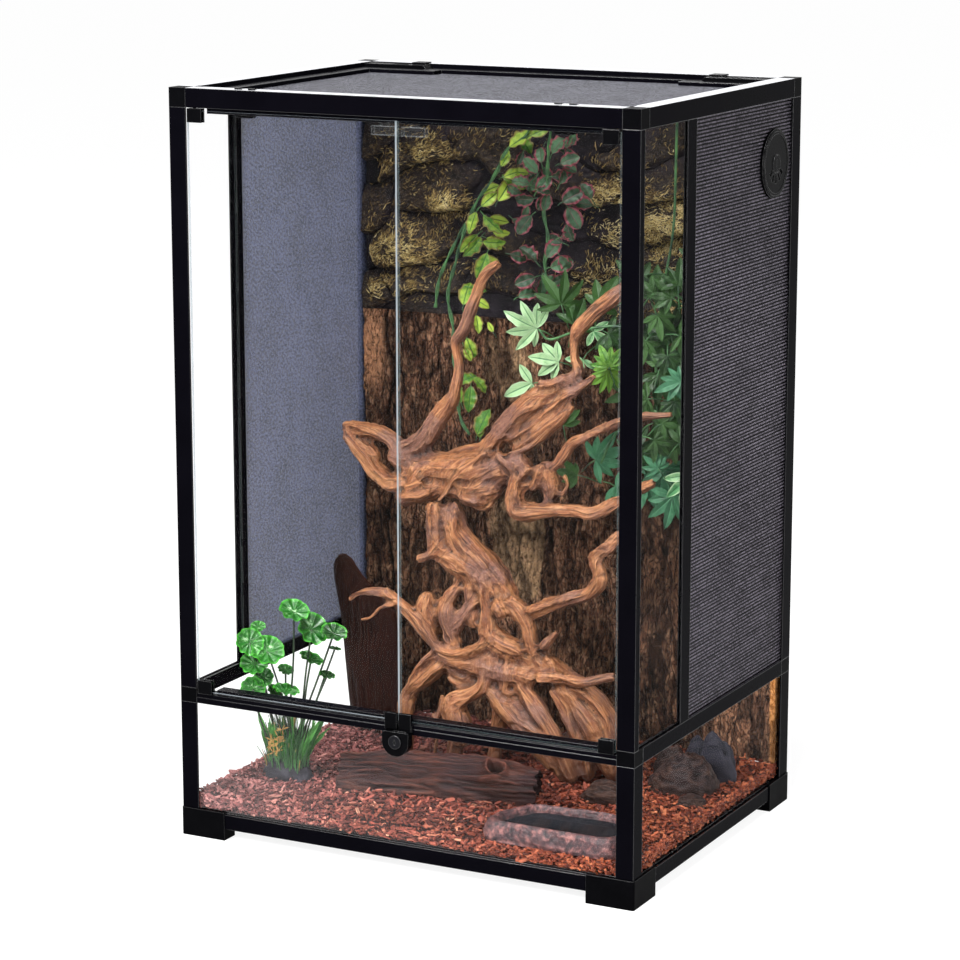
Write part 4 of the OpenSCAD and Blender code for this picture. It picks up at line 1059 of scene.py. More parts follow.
@dataclass
class Enclosure:
    """The black frame, its corner pieces, panes and hardware, dressed as they are."""

    rails: tuple[str, ...] = (
        "bottom_rail_front", "bottom_rail_rear", "bottom_rails_side", "mid_rails_side", "lower_posts",
        "upper_posts_front", "upper_posts_rear", "mullions", "lid_frame",
    )
    corners: tuple[str, ...] = (
        "foot_front_left", "foot_front_right", "foot_rear_left", "foot_rear_right", "mid_corners",
        "top_corners",
    )
    fittings: tuple[str, ...] = (
        "hinge_clips_left", "hinge_clips_right", "catch_plate_left", "catch_plate_right", "lock_body",
        "lid_latch_left", "lid_latch_right", "cable_housings", "cable_slide_left", "cable_slide_right",
        "port_ring", "port_shutter",
    )
    sill: tuple[str, ...] = ("mid_rail_front",)
    tops: tuple[str, ...] = ("top_rail_front", "top_rail_rear", "top_rails_side")

    def build(self) -> None:
        """Dresses every rigid piece of the enclosure."""
        dress(BlackCoat(), *self.rails)
        dress(BlackCoat("sill", shine=0.01, glint=0.5, sky=0.02), *self.sill)
        # The top rails carry the painted sky reflection.
        dress(BlackCoat("top", sky=1.0, glare=1.4), *self.tops)
        dress(BlackPlastic(), *self.corners)
        dress(BlackPlastic("glossy", rough=0.24, shine=0.015, glint=0.8), *self.fittings)
        dress(BlackCoat("plated", colour=(0.003, 0.003, 0.004), rough=0.3, shine=0.06), "lock_barrel")
        dress(ClearPane("Y", "rear"), "rear_glass")
        # The low front pane carries the painted reflection at its lower left.
        dress(ClearPane("Y", "low", film=0.03), "lower_glass_front")
        # The doors are one glass: the left door's paler, stronger edge is a painted highlight, and the right
        # door's fainter edge painted shade.
        dress(ClearPane("Y", "left door", edge_colour=(0.5, 0.56, 0.6), edge_cover=0.85), "door_glass_left")
        dress(ClearPane("Y", "right door", edge_cover=0.3), "door_glass_right")
        dress(ClearPane("X"), "lower_glass_sides", "side_glass")
        dress(ClearPane("Z"), "floor_glass")
        dress(ClearPlastic(), "door_stops")


@dataclass
class WirePanel:
    """A panel of woven wire that stands for a coarse net: two layers of thin crossing wires."""

    node: str
    body: str
    pitch: tuple[float, float] = (1.5, 1.5)
    wire: tuple[float, float] = (0.5, 0.5)
    hole: tuple[float, float, float] | None = None
    finish: Finish = WovenWire()

    def wires(self, shell: Shell, axes: tuple[int, int, int], low: Row, high: Row, layer: int) -> None:
        """Adds one layer of parallel wires.

        Args:
            shell: Where the wires go.
            axes: The axes along the wires, across them and through the panel.
            low: The panel's lowest corner.
            high: The panel's highest corner.
            layer: 0 for the outer layer and 1 for the inner one.
        """
        run, cross, deep = axes
        half, pitch = self.wire[layer] / 2 * MM, self.pitch[layer] * MM
        level = (low[deep] + high[deep]) / 2 + half * (1 - 2 * layer)
        corners = 2 * np.array(list(np.ndindex(2, 2, 2))) - 1
        blocks = []
        for i in range(int((high[cross] - low[cross]) / pitch)):
            place = low[cross] + (i + 0.5) * pitch
            for start, end in self.runs(run, cross, low[run], high[run], place):
                block = np.zeros((8, 3))
                block[:, run] = np.where(corners[:, 0] > 0, end, start)
                block[:, cross] = place + corners[:, 1] * half
                block[:, deep] = level + corners[:, 2] * half
                blocks.append(block)
        faces = [(0, 1, 3, 2), (4, 6, 7, 5), (0, 4, 5, 1), (2, 3, 7, 6), (0, 2, 6, 4), (1, 5, 7, 3)]
        shell.repeat(np.array(blocks), faces)

    def runs(self, run: int, cross: int, start: float, end: float, place: float) -> list[tuple[float, float]]:
        """The stretches of one wire, which a round hole may cut in two."""
        if self.hole is None:
            return [(start, end)]
        centre = dict(zip((1, 2), self.hole[:2]))
        off = abs(place - centre[cross])
        if off >= self.hole[2]:
            return [(start, end)]
        reach = math.sqrt(self.hole[2] ** 2 - off**2)
        return [(start, centre[run] - reach), (centre[run] + reach, end)]

    def build(self, name: str) -> None:
        """Weaves the panel and hides the coarse net."""
        low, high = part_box(self.node)
        size = [high[i] - low[i] for i in range(3)]
        deep = size.index(min(size))
        run, cross = (i for i in range(3) if i != deep)
        shell = Shell()
        self.wires(shell, (run, cross, deep), low, high, 0)
        self.wires(shell, (cross, run, deep), low, high, 1)
        shell.piece(name, self.finish, "mesh_wire", (self.node,), smooth=False, body=self.body)


@dataclass
class ReliefPanel:
    """A panel against the rear glass whose relief stands out towards the doors."""

    node: str
    cols: int
    rows: int

    def relief(self, x: np.ndarray, z: np.ndarray) -> tuple[np.ndarray, np.ndarray, np.ndarray]:
        """The relief at places in millimetres.

        Args:
            x: Distances from the middle.
            z: Heights above the ground.

        Returns:
            The depth in millimetres, the second surface coordinate and the tone.
        """
        raise NotImplementedError

    def build(self, name: str, finish: Finish, slot: str) -> None:
        """Makes the panel with its front and its four sides."""
        low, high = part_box(self.node)
        x, z = np.meshgrid(np.linspace(low.x, high.x, self.cols), np.linspace(low.z, high.z, self.rows))
        depth, second, tone = self.relief(x / MM, z / MM)
        face = np.stack([x, high.y - depth * MM, z], axis=-1)
        coords = np.stack([x, second, tone], axis=-1)
        shell = Shell()
        shell.grid(face, coords)
        shell.skirt(face, coords, 1, high.y, (0, 0.33, 0.66, 1), flip=True)
        shell.piece(name, finish, slot, (self.node,))


@dataclass
class RockPanel(ReliefPanel):
    """The upper panel: bulging layers of rock with undercut ledges, and short fibres stuck on the lumps.

    `patches` are places with bright fibres: x, z, half width, half height and strength.
    """

    node: str = "rock_background"
    cols: int = 460
    rows: int = 250
    fibres: int = 17000
    layer_mm: float = 52
    block_mm: float = 120
    patches: Line = (
        (-245, 672, 56, 24, 0.55), (-164, 723, 24, 17, 1.1), (-191, 787, 40, 22, 0.65),
        (-264, 761, 28, 16, 0.35), (65, 715, 34, 46, 1.8), (41, 799, 17, 12, 0.9), (25, 640, 30, 20, 0.75),
        (-250, 612, 48, 20, 0.6), (-215, 652, 60, 16, 0.35), (60, 651, 44, 24, 0.5), (144, 722, 30, 28, 1.1),
        (150, 674, 40, 18, 0.8), (-150, 640, 30, 18, 0.3), (235, 700, 40, 28, 0.9), (240, 800, 30, 18, 0.6),
        (-60, 760, 30, 18, 0.2), (-90, 812, 30, 16, 0.2), (150, 610, 50, 14, 0.5), (230, 630, 40, 18, 0.7),
    )

    def lump(self, x: np.ndarray, z: np.ndarray) -> tuple[np.ndarray, np.ndarray]:
        """How far the layers jut out at each place, from 0 to 1, and the noise on them."""
        at = upright(x, z)
        layer = (z - 583) / self.layer_mm + 0.4 * np.sin(x * 0.016 + 0.8)
        layer = layer + 1.6 * swell(at, (0.008, 1, 0.012), 3)
        index = np.floor(layer)
        part = layer - index
        shift = lattice(np.stack([index, index * 3, index * 7], axis=-1).astype(np.int64)) * 3
        column = x / self.block_mm + shift + 0.9 * swell(at, (0.014, 1, 0.02), 3)
        block = lattice(np.stack([np.floor(column), index, index * 5], axis=-1).astype(np.int64))
        gap = np.clip(np.minimum(column % 1, 1 - column % 1) / 0.10, 0, 1) ** 0.7
        jut = np.clip(part / 0.16, 0, 1) ** 0.6 * (1 - 0.55 * part**1.5) * (0.35 + 0.65 * gap)
        jut = jut * np.where(block < 0.3, 0.3, 0.6 + 0.45 * block)
        return jut * (0.5 + 0.75 * np.minimum(self.glow(x, z), 0.8)), swell(at, (0.03, 1, 0.045), 4)

    def relief(self, x: np.ndarray, z: np.ndarray) -> tuple[np.ndarray, np.ndarray, np.ndarray]:
        """Layers that jut out above an undercut, broken into blocks."""
        jut, noise = self.lump(x, z)
        at = upright(x, z)
        strand = ridged(at @ np.array([[0.9, 0, 0.42], [0, 1, 0], [-0.42, 0, 0.9]]), (0.11, 1, 0.24), 3)
        depth = 5 + 27 * jut + 10 * (noise - 0.35) + 2.6 * strand * jut
        return np.clip(depth, 3, 39), np.clip(jut * 1.1 + 0.5 * (noise - 0.4), 0, 1), np.clip(jut * 1.5, 0, 1)

    def glow(self, x: np.ndarray, z: np.ndarray) -> np.ndarray:
        """The strength of the bright patches at each place."""
        total = np.full_like(x, 0.10)
        for mx, mz, wide, high, strength in self.patches:
            total = total + strength * np.exp(-(((x - mx) / wide) ** 2) - ((z - mz) / high) ** 2)
        return total

    def build(self, name: str, finish: Finish, slot: str) -> None:
        """Makes the panel, then sticks the fibres on it."""
        super().build(name, finish, slot)
        rng = np.random.default_rng(14)
        low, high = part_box(self.node)
        x = rng.uniform(low.x / MM + 10, high.x / MM - 10, self.fibres * 4)
        z = rng.uniform(low.z / MM + 10, high.z / MM - 12, self.fibres * 4)
        jut, noise = self.lump(x, z)
        glow = self.glow(x, z)
        at = upright(x, z)
        clump = np.clip((swell(at, (0.06, 1, 0.09), 3) - 0.33) * 4.0, 0.05, 1)
        chance = np.clip(glow * 1.2, 0, 1) * clump * np.clip(jut * 2.2 - 0.25, 0.04, 1)
        keep = rng.uniform(0, 1, len(x)) < chance
        x, z, glow, jut, at = x[keep], z[keep], glow[keep], jut[keep], at[keep]
        count = len(x)
        lean = 0.75 + 2.6 * (swell(at, (0.02, 1, 0.03), 2) - 0.5) + rng.normal(0, 0.45, count)
        lean = np.where(rng.uniform(0, 1, count) < 0.25, math.pi - lean, lean)
        length = rng.uniform(3, 9, count)
        curl = rng.normal(0, 1.1, count)
        shell = Shell()
        steps = np.linspace(-0.5, 0.5, 6)
        angle = lean[:, None] + curl[:, None] * steps
        px = x[:, None] + np.cumsum(np.cos(angle), 1) * length[:, None] / 6
        pz = z[:, None] + np.cumsum(np.sin(angle), 1) * length[:, None] / 6
        depth = self.relief(px, pz)[0]
        bow = rng.uniform(0.3, 1.6, count)[:, None] * np.cos(steps * math.pi)
        fleck = swell(at, (0.13, 1, 0.16), 2) - 0.5
        tone = np.clip(0.17 + 0.46 * glow + 0.2 * jut + 0.9 * fleck + rng.normal(0, 0.17, count), 0, 1)
        half = rng.uniform(0.25, 0.6, count)[:, None] * (1 - 0.75 * np.abs(steps * 2) ** 2)
        sx, sz = -np.sin(angle) * half, np.cos(angle) * half
        near, far = depth + bow + 0.7, depth + bow - 0.3
        rows = [(px - sx, far, pz - sz), (px, near, pz), (px + sx, far, pz + sz)]
        points = np.stack([np.stack([a * MM, high.y - d * MM, c * MM], -1) for a, d, c in rows], axis=2)
        coords = np.zeros_like(points)
        coords[..., 2] = tone[:, None, None]
        faces = [(3 * i + k, 3 * i + k + 1, 3 * i + k + 4, 3 * i + k + 3) for i in range(5) for k in (0, 1)]
        shell.repeat(points, faces, coords)
        shell.piece(name + "_fibres", Fibre(), slot)


@dataclass
class BarkPanel(ReliefPanel):
    """The lower panel: overlapping slabs of fissured bark."""

    node: str = "bark_background"
    cols: int = 500
    rows: int = 420
    slabs: Line = (
        (-330, -192, 11, 9, 0.45), (-205, -20, 9, 11, 0.45), (-150, 60, 12, 9, 0.5), (45, 310, 8, 11, 0.45),
    )

    def relief(self, x: np.ndarray, z: np.ndarray) -> tuple[np.ndarray, np.ndarray, np.ndarray]:
        """The nearest slab at each place, each rounded towards its edges."""
        at = upright(x, z)
        sway = 14 * (swell(at, (0.001, 1, 0.012), 3) - 0.5)
        depth, tone = np.full_like(x, 4.0), np.full_like(x, 0.4)
        for left, right, base, bulge, shade in self.slabs:
            across = (x + sway - (left + right) / 2) / ((right - left) / 2)
            inside = np.abs(across) < 1
            rise = base + bulge * np.sqrt(np.clip(1 - across**2, 0, 1)) ** 0.7
            nearer = inside & (rise > depth)
            depth, tone = np.where(nearer, rise, depth), np.where(nearer, shade, tone)
        lichen = np.exp(-(((x + 64) / 40) ** 4) - ((z - 285) / 66) ** 4) * (x + sway < -30)
        tone = np.maximum(tone, 0.45 + 0.7 * lichen * swell(at, (0.05, 1, 0.04), 3))
        bare = np.exp(-(((x + 276) / 21) ** 2) - ((z - 530) / 62) ** 2)
        light = np.exp(-(((x + 81) / 45) ** 2) - ((z - 520) / 62) ** 2)
        tone = np.maximum(tone, 0.42 + 0.5 * light * swell(at, (0.05, 1, 0.05), 3))
        tone = np.where(bare > 0.3, tone * (1 - bare), tone)
        fissure = ridged(at, (0.06, 1, 0.020), 4) ** 2
        fissure = fissure * (1 - 0.7 * bare) + 0.9 * np.exp(-(((x + 253 + 5 * np.sin(z / 21)) / 2.2) ** 2))
        plate = swell(at, (0.16, 1, 0.085), 4)
        depth = depth - 6 * fissure + 6 * (plate - 0.4) + 2.4 * swell(at, (0.5, 1, 0.28), 2)
        return np.clip(depth, 2, 32.5), np.clip(1.3 - 1.25 * fissure, 0, 1), tone


@dataclass
class Driftwood:
    """A mass of gnarled wood: limbs of twisted strands fused into one skin with a fibrous relief."""

    node: str
    limbs: tuple[Line, ...]
    masses: tuple[Line, ...]
    seed: int
    voxel: float = 1.5 * MM
    close: float = 3.0 * MM

    def moving_frame(self, line: np.ndarray) -> tuple[np.ndarray, np.ndarray, np.ndarray]:
        """The way along a limb at each of its points, and two directions across it."""
        ahead = unit(np.gradient(line[:, :3], axis=0))
        side = unit(np.cross(ahead, (0.2, 0.9, 0.3)))
        return arc(line[:, :3]), side, np.cross(ahead, side)

    def blunt(self, line: np.ndarray) -> None:
        """Rounds off both ends of a limb."""
        run = arc(line[:, :3])
        for far, radius in ((run, line[0, 3]), (run[-1] - run, line[-1, 3])):
            share = np.clip(far / (1.3 * radius), 0, 1)
            line[:, 3] *= 0.35 + 0.65 * np.sqrt(1 - (1 - share) ** 2)

    def strands(self, shell: Shell, line: np.ndarray, rng: Rng) -> None:
        """Winds strands round a limb where it is thick enough."""
        thick = float(np.median(line[:, 3]))
        if thick < 4.5 * MM:
            return
        run, side, other = self.moving_frame(line)
        count = int(rng.integers(4, 7))
        for k in range(count):
            turn = TURN * k / count + rng.uniform(-0.4, 0.4)
            twist = rng.uniform(-14, 22)
            angle = turn + twist * run + 0.5 * np.sin(run * rng.uniform(20, 60))
            reach = line[:, 3] * rng.uniform(0.66, 0.9)
            shift = np.cos(angle)[:, None] * side + np.sin(angle)[:, None] * other
            wobble = 0.75 + 0.5 * swell(line[:, :3] + k, (40, 40, 40), 2)
            radii = line[:, 3] * rng.uniform(0.24, 0.42) * wobble + self.close
            shell.tube(line[:, :3] + shift * reach[:, None], radii, 8)

    def skin(self, shell: Shell) -> bpy.types.Mesh:
        """Fuses everything in the shell into one closed skin."""
        rough = bpy.data.meshes.new("rough")
        rough.from_pydata(np.vstack(shell.verts).tolist(), [], shell.faces)
        holder = placed("rough", rough)
        remesh = holder.modifiers.new("fuse", "REMESH")
        remesh.mode = "VOXEL"
        remesh.voxel_size = self.voxel
        relax = holder.modifiers.new("relax", "SMOOTH")
        relax.iterations = 3
        graph = bpy.context.evaluated_depsgraph_get()
        fused = bpy.data.meshes.new_from_object(holder.evaluated_get(graph))
        bpy.data.objects.remove(holder)
        return fused

    def build(self, name: str) -> None:
        """Makes the whole mass and hides the plain one."""
        rng = np.random.default_rng(self.seed)
        shell, lines = Shell(), []
        for rows in (*self.limbs, *self.masses):
            line = smooth_line(rows, 4 * MM)
            bends = [swell(line[:, :3] + 3.7 * k, 45, 2) for k in range(3)]
            line[:, :3] += 3.0 * MM * (np.stack(bends, axis=-1) - 0.5)
            line[:, 3] *= 0.80 + 0.40 * swell(line[:, :3], (38, 38, 38), 3)
            self.blunt(line)
            shell.tube(line[:, :3], line[:, 3] * 0.88 + self.close, 10)
            if rows in self.limbs:
                self.strands(shell, line, rng)
            lines.append(line)
        mesh = self.skin(shell)
        points, normals = (np.empty(len(mesh.vertices) * 3) for _ in range(2))
        mesh.vertices.foreach_get("co", points)
        mesh.vertices.foreach_get("normal", normals)
        points, normals = points.reshape(-1, 3), normals.reshape(-1, 3)
        coords = self.grain_coords(points, lines)
        flute = ridged(coords, (26, 170, 170), 4)
        calm = np.clip((swell(points, (20, 20, 20), 2) - 0.40) * 7, 0.25, 1)
        pit = ridged(points, (95, 95, 95), 3) ** 3
        knob = swell(points, (60, 60, 60), 3) - 0.5
        push = 3.2 * (flute - 0.66) * calm - 1.3 * pit * (1.25 - calm) + 3.6 * knob * (1.2 - calm)
        points = points + normals * (push * MM - self.close)[:, None]
        points[:, 2] = np.maximum(points[:, 2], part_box(self.node)[0].z)
        mesh.vertices.foreach_set("co", points.ravel())
        mesh.update()
        settle(name, mesh, coords, DRIFT_WOOD, (self.node,))

    def grain_coords(self, points: np.ndarray, lines: list[np.ndarray]) -> np.ndarray:
        """The way along the nearest limb and the place across it, for every point."""
        middles = np.vstack([line[:, :3] for line in lines])
        tree = kdtree.KDTree(len(middles))
        for index, middle in enumerate(middles):
            tree.insert(middle, index)
        tree.balance()
        near = np.array([tree.find(p)[1] for p in points])
        frames = [self.moving_frame(line) for line in lines]
        run = np.concatenate([each[0] + 0.37 * k for k, each in enumerate(frames)])[near]
        side, other = (np.vstack([each[i] for each in frames])[near] for i in (1, 2))
        off = points - middles[near]
        ways = (np.cross(side, other), side, other)
        ahead, across, through = (np.einsum("ij,ij->i", off, way) for way in ways)
        return np.column_stack([run + ahead, across, through])


@dataclass
class ChipBed:
    """A bed of shredded bark: a dark base under thousands of loose chips."""

    count: int = 12500
    front_count: int = 1500
    side_count: int = 1000
    seed: int = 5

    def base(self, low: Vector, high: Vector) -> Shell:
        """The bed below the chips, as a lumpy box."""
        shell = Shell()
        edge = 6 * MM
        x, y = np.meshgrid(np.linspace(low.x + edge, high.x - edge, 150),
                           np.linspace(low.y + edge, high.y - edge, 116))
        flat = np.stack([x, y, np.zeros_like(x)], axis=-1)
        face = flat + (0, 0, high.z - 3 * MM)
        face[..., 2] += 3 * MM * (swell(flat, (60, 60, 1), 3) - 0.5)
        # The bed takes the chips' darkest tones: painted shade for the deep gaps between the chips.
        tone = np.stack([x, y, 0.10 * swell(flat, (300, 300, 1), 2)], axis=-1)
        shell.grid(face, tone)
        shell.skirt(face, tone, 2, low.z, (0, 0.5, 1))
        return shell

    def chips(self, shell: Shell, centres: np.ndarray, rng: Rng, upright: np.ndarray) -> None:
        """Adds a chip at each centre.

        Args:
            shell: Where the chips go.
            centres: One point each.
            rng: The source of their shapes.
            upright: How far each is tipped from lying flat, in radians.
        """
        count = len(centres)
        length = rng.gamma(4.5, 1.75 * MM, count).clip(3 * MM, 24 * MM)
        width = length * rng.uniform(0.22, 0.5, count)
        thick = rng.uniform(0.9, 2.6, count) * MM
        ring = np.array([[-1, -0.5], [-0.55, -1], [0.5, -0.9], [1, -0.3], [0.8, 0.8], [-0.4, 1]])
        shape = ring[None] * rng.uniform(0.72, 1.1, (count, 6, 2))
        flat = np.stack([shape[..., 0] * length[:, None] / 2, shape[..., 1] * width[:, None] / 2], axis=-1)
        bow = 1.2 * MM * (shape[..., 0] ** 2) * rng.uniform(-1, 1, count)[:, None]
        top = np.concatenate([flat, (thick[:, None] / 2 + bow)[..., None]], axis=-1)
        under = np.concatenate([flat * 0.92, (bow - thick[:, None] / 2)[..., None]], axis=-1)
        local = np.concatenate([top, under], axis=1)
        yaw, roll = rng.uniform(0, TURN, count), rng.uniform(-0.5, 0.5, count)
        cy, sy, cp, sp, cr, sr = (f(a) for a in (yaw, upright, roll) for f in (np.cos, np.sin))
        turn = np.stack([
            np.stack([cy * cp, cy * sp * sr - sy * cr, cy * sp * cr + sy * sr], -1),
            np.stack([sy * cp, sy * sp * sr + cy * cr, sy * sp * cr - cy * sr], -1),
            np.stack([-sp, cp * sr, cp * cr], -1),
        ], axis=1)
        world = np.einsum("nij,nkj->nki", turn, local) + centres[:, None]
        tone = np.broadcast_to(rng.beta(2.2, 2.4, count)[:, None, None], (count, 12, 1))
        seat = np.stack([local[..., 0] + centres[:, None, 0] * 7, local[..., 1] + centres[:, None, 1] * 7], -1)
        coords = np.concatenate([seat, tone], axis=-1)
        faces = [(0, 1, 2, 3, 4, 5), (11, 10, 9, 8, 7, 6)]
        faces += [(k, k + 6, (k + 1) % 6 + 6, (k + 1) % 6) for k in range(6)]
        shell.repeat(world, faces, coords)

    def build(self) -> None:
        """Fills the bed."""
        rng = np.random.default_rng(self.seed)
        low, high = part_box("substrate")
        shell = self.base(low, high)
        inset = 7 * MM
        x = rng.uniform(low.x + inset, high.x - inset, self.count)
        y = rng.uniform(low.y + inset, high.y - inset, self.count)
        lift = rng.uniform(-2.5, 4.5, self.count) * MM
        self.chips(shell, np.column_stack([x, y, high.z + lift]), rng, rng.normal(0, 0.33, self.count))
        for wall in ("front", "left", "right"):
            self.against(shell, wall, low, high, rng)
        shell.piece("bark_chips", BarkChip(), "bark_chips", ("substrate",), smooth=False)

    def against(self, shell: Shell, wall: str, low: Vector, high: Vector, rng: Rng) -> None:
        """Adds the chips that lie against one pane."""
        count = self.front_count if wall == "front" else self.side_count
        deep = rng.uniform(1.6, 5.0, count) * MM
        z = rng.uniform(low.z + 3 * MM, high.z, count)
        if wall == "front":
            spots_at = np.column_stack([rng.uniform(low.x + 8 * MM, high.x - 8 * MM, count), low.y + deep, z])
        else:
            edge = low.x + deep if wall == "left" else high.x - deep
            spots_at = np.column_stack([edge, rng.uniform(low.y + 8 * MM, high.y - 8 * MM, count), z])
        before = len(shell.verts)
        self.chips(shell, spots_at, rng, rng.normal(0, 0.3, count))
        block = shell.verts[before]
        block[:, 0] = block[:, 0].clip(low.x + 0.3 * MM, high.x - 0.3 * MM)
        block[:, 1] = block[:, 1].clip(low.y + 0.3 * MM, high.y - 0.3 * MM)


@dataclass
class BarkSlab:
    """A dark slab of bark that leans in the left rear corner."""

    left: Line = (
        (50, -258), (90, -262), (130, -266), (200, -273), (245, -282), (264, -282), (272, -279), (277, -273),
    )
    right: Line = (
        (50, -183), (90, -184), (130, -187), (180, -190), (208, -196), (228, -217), (252, -243), (266, -254),
        (273, -259), (277, -267),
    )

    def build(self) -> None:
        """Makes the slab with a rounded, grooved front and a rough back."""
        low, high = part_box("bark_slab")
        z = np.linspace(low.z, high.z - 2 * MM, 150)
        edges = [np.interp(z / MM, *zip(*side)) * MM for side in (self.left, self.right)]
        across = np.linspace(-1, 1, 90)
        shell = Shell()
        half, middle = (edges[1] - edges[0]) / 2, (edges[1] + edges[0]) / 2
        x = middle[:, None] + half[:, None] * across
        up = np.broadcast_to(z[:, None], x.shape)
        at = upright(x, up)
        bend = np.sqrt(np.clip(1 - across**2, 0, 1))
        groove = ridged(at + 0.02 * (swell(at, (9, 1, 9), 2) - 0.5)[..., None], (150, 1, 26), 4)
        lump = swell(at, (30, 1, 22), 3) - 0.5
        front = high.y - 7 * MM - bend * 9 * MM - (6.0 * (groove - 0.6) + 7 * lump) * MM * bend
        back = np.broadcast_to(high.y - 2 * MM * bend - 2.0 * MM, x.shape)
        coords = np.stack([up, x, groove], axis=-1)
        shell.grid(np.stack([x, front, up], axis=-1), coords)
        shell.grid(np.stack([x, back, up], axis=-1), coords, flip=True)
        for column, flip in ((0, True), (-1, False)):
            pair = [np.stack([x[:, column], depth[:, column], z], -1) for depth in (front, back)]
            rim = np.stack(pair, 1)
            shell.grid(rim, np.stack([coords[:, column]] * 2, 1), flip=flip)
        tip = np.stack([np.stack([x[-1], depth[-1], up[-1]], -1) for depth in (front, back)])
        shell.grid(tip, np.stack([coords[-1]] * 2))
        shell.piece("leaning_slab", SLAB_WOOD, "dark_bark", ("bark_slab",))


@dataclass
class HollowLog:
    """A half-round piece of bark on the chips, with splintered ends and a knot hole."""

    start: Row = (-145, -112)
    turn: float = 14.0
    length: float = 245.0
    half: float = 35.0
    rise: float = 50.0
    knot: Row = (0.80, 0.36, 7.0)

    def build(self) -> None:
        """Makes the arched shell, outside and inside."""
        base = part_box("floor_log")[0].z / MM
        t, a = np.meshgrid(np.linspace(0, 1, 190), np.linspace(0, math.pi, 110), indexing="ij")
        ring = np.stack([t * 6, np.cos(a), np.sin(a)], axis=-1)
        groove = ridged(ring, (0.8, 6, 6), 5)
        lump = swell(ring, (1.1, 2, 2), 3)
        fray = 9 * (swell(ring, (0.01, 6, 6), 3) - 0.5)
        run = self.length * t + fray * (1 - 2 * t) * 1.6 * (np.abs(2 * t - 1) > 0.9)
        swing = 6 * np.sin(t * 4.2 + 0.5)
        scale = (0.95 + 0.26 * (lump - 0.5)) * (1 - 0.16 * np.abs(2 * t - 1) ** 3)
        outer = scale - 0.17 * groove + 0.11
        shell = Shell()
        knot_t, knot_a, knot_r = self.knot
        gap = np.hypot((t - knot_t) * self.length, (a / math.pi - knot_a) * 120)
        dent = np.clip(1.6 - gap / knot_r, 0, 1) * 0.42
        rim = 0.07 * np.exp(-((gap - 1.7 * knot_r) / 3.5) ** 2)
        dark = np.clip(1.45 - gap / knot_r, 0, 1)
        for level, flip in ((outer - dent + rim, True), (np.full_like(outer, 0.72) * scale, False)):
            along = run
            side = -self.half * np.cos(a) * level + swing
            up = np.maximum(self.rise * np.sin(a) * level, 0.0)
            turn = math.radians(self.turn)
            x = self.start[0] + along * math.cos(turn) - side * math.sin(turn)
            y = self.start[1] + along * math.sin(turn) + side * math.cos(turn)
            points = np.stack([x * MM, y * MM + MID_Y, (base + up) * MM], axis=-1)
            coords = np.stack([along * MM, side * MM + dark, up * MM], axis=-1)
            shell.grid(points, coords, flip=flip)
        shell.piece("hollow_log", LOG_WOOD, "log_bark", ("floor_log",))


@dataclass
class WaterDish:
    """A cast dish with a lumpy rim, and the water in it."""

    lobes: Line = ((118, -196, 24), (140, -158, 28), (232, -158, 32), (250, -190, 31))
    middle: Row = (187, -174)
    water: float = 16.0
    basin_from: float = 0.765
    profile: Line = (
        (0.99, 0), (1.0, 6), (0.99, 13), (0.96, 19), (0.92, 23), (0.87, 24.5), (0.82, 23), (0.78, 19),
        (0.755, 13), (0.74, 8), (0.6, 6), (0.3, 5.5), (0.0, 5.5),
    )

    def reach(self, angles: np.ndarray) -> np.ndarray:
        """The distance from the middle to the outline in each direction, in millimetres."""
        facing = np.linspace(0, TURN, 361)[:-1]
        normals = np.stack([np.cos(facing), np.sin(facing)])
        middle = np.array(self.middle)
        support = np.max([(np.array(row[:2]) - middle) @ normals + row[2] for row in self.lobes], axis=0)
        toward = np.cos(angles[:, None] - facing)
        return np.where(toward > 0.05, support / np.maximum(toward, 0.05), np.inf).min(axis=1)

    def build(self) -> None:
        """Makes the dish and its water."""
        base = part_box("water_dish")[0].z
        angles = np.linspace(0, TURN, 181)
        rim = self.reach(angles) * MM
        centre = spot(*self.middle, 0)
        rings, coords = [], []
        levels = np.array(self.profile)
        fine = np.linspace(0, len(levels) - 1, 5 * len(levels))
        shares, rises = (np.interp(fine, np.arange(len(levels)), levels[:, k]) for k in (0, 1))
        for share, up in zip(shares, rises):
            ring = level_ring(centre, angles, rim * share, base + up * MM)
            inside = float(share < self.basin_from)
            lump = swell(ring, (38, 38, 60), 4) - 0.5
            crag = ridged(ring, (120, 120, 90), 3) - 0.6
            push = (0.2 if inside else 1.0) * (9.0 * lump + 2.6 * crag) * MM * min(1.0, up / 5)
            out = unit(ring - centre * (1, 1, 0) - (0, 0, base + 4 * MM))
            rings.append(ring + out * (0.75 * push)[:, None] * (1, 1, 0.9 if not inside else 0.1))
            coords.append(np.column_stack([angles, np.full_like(angles, share), np.full_like(angles, inside)]))
        shell = Shell()
        points = np.stack(rings)
        points[..., 2] = np.maximum(points[..., 2], base)
        shell.grid(points, np.stack(coords))
        shell.piece("water_dish_rim", DishResin(), "dish_resin", ("water_dish",))
        water = Shell()
        height = base + self.water * MM
        disc = np.stack([level_ring(centre, angles, rim * share, height) for share in (0.79, 0.5, 0.2, 0.0)])
        water.grid(disc)
        water.piece("water", StillWater(), "dish_resin")


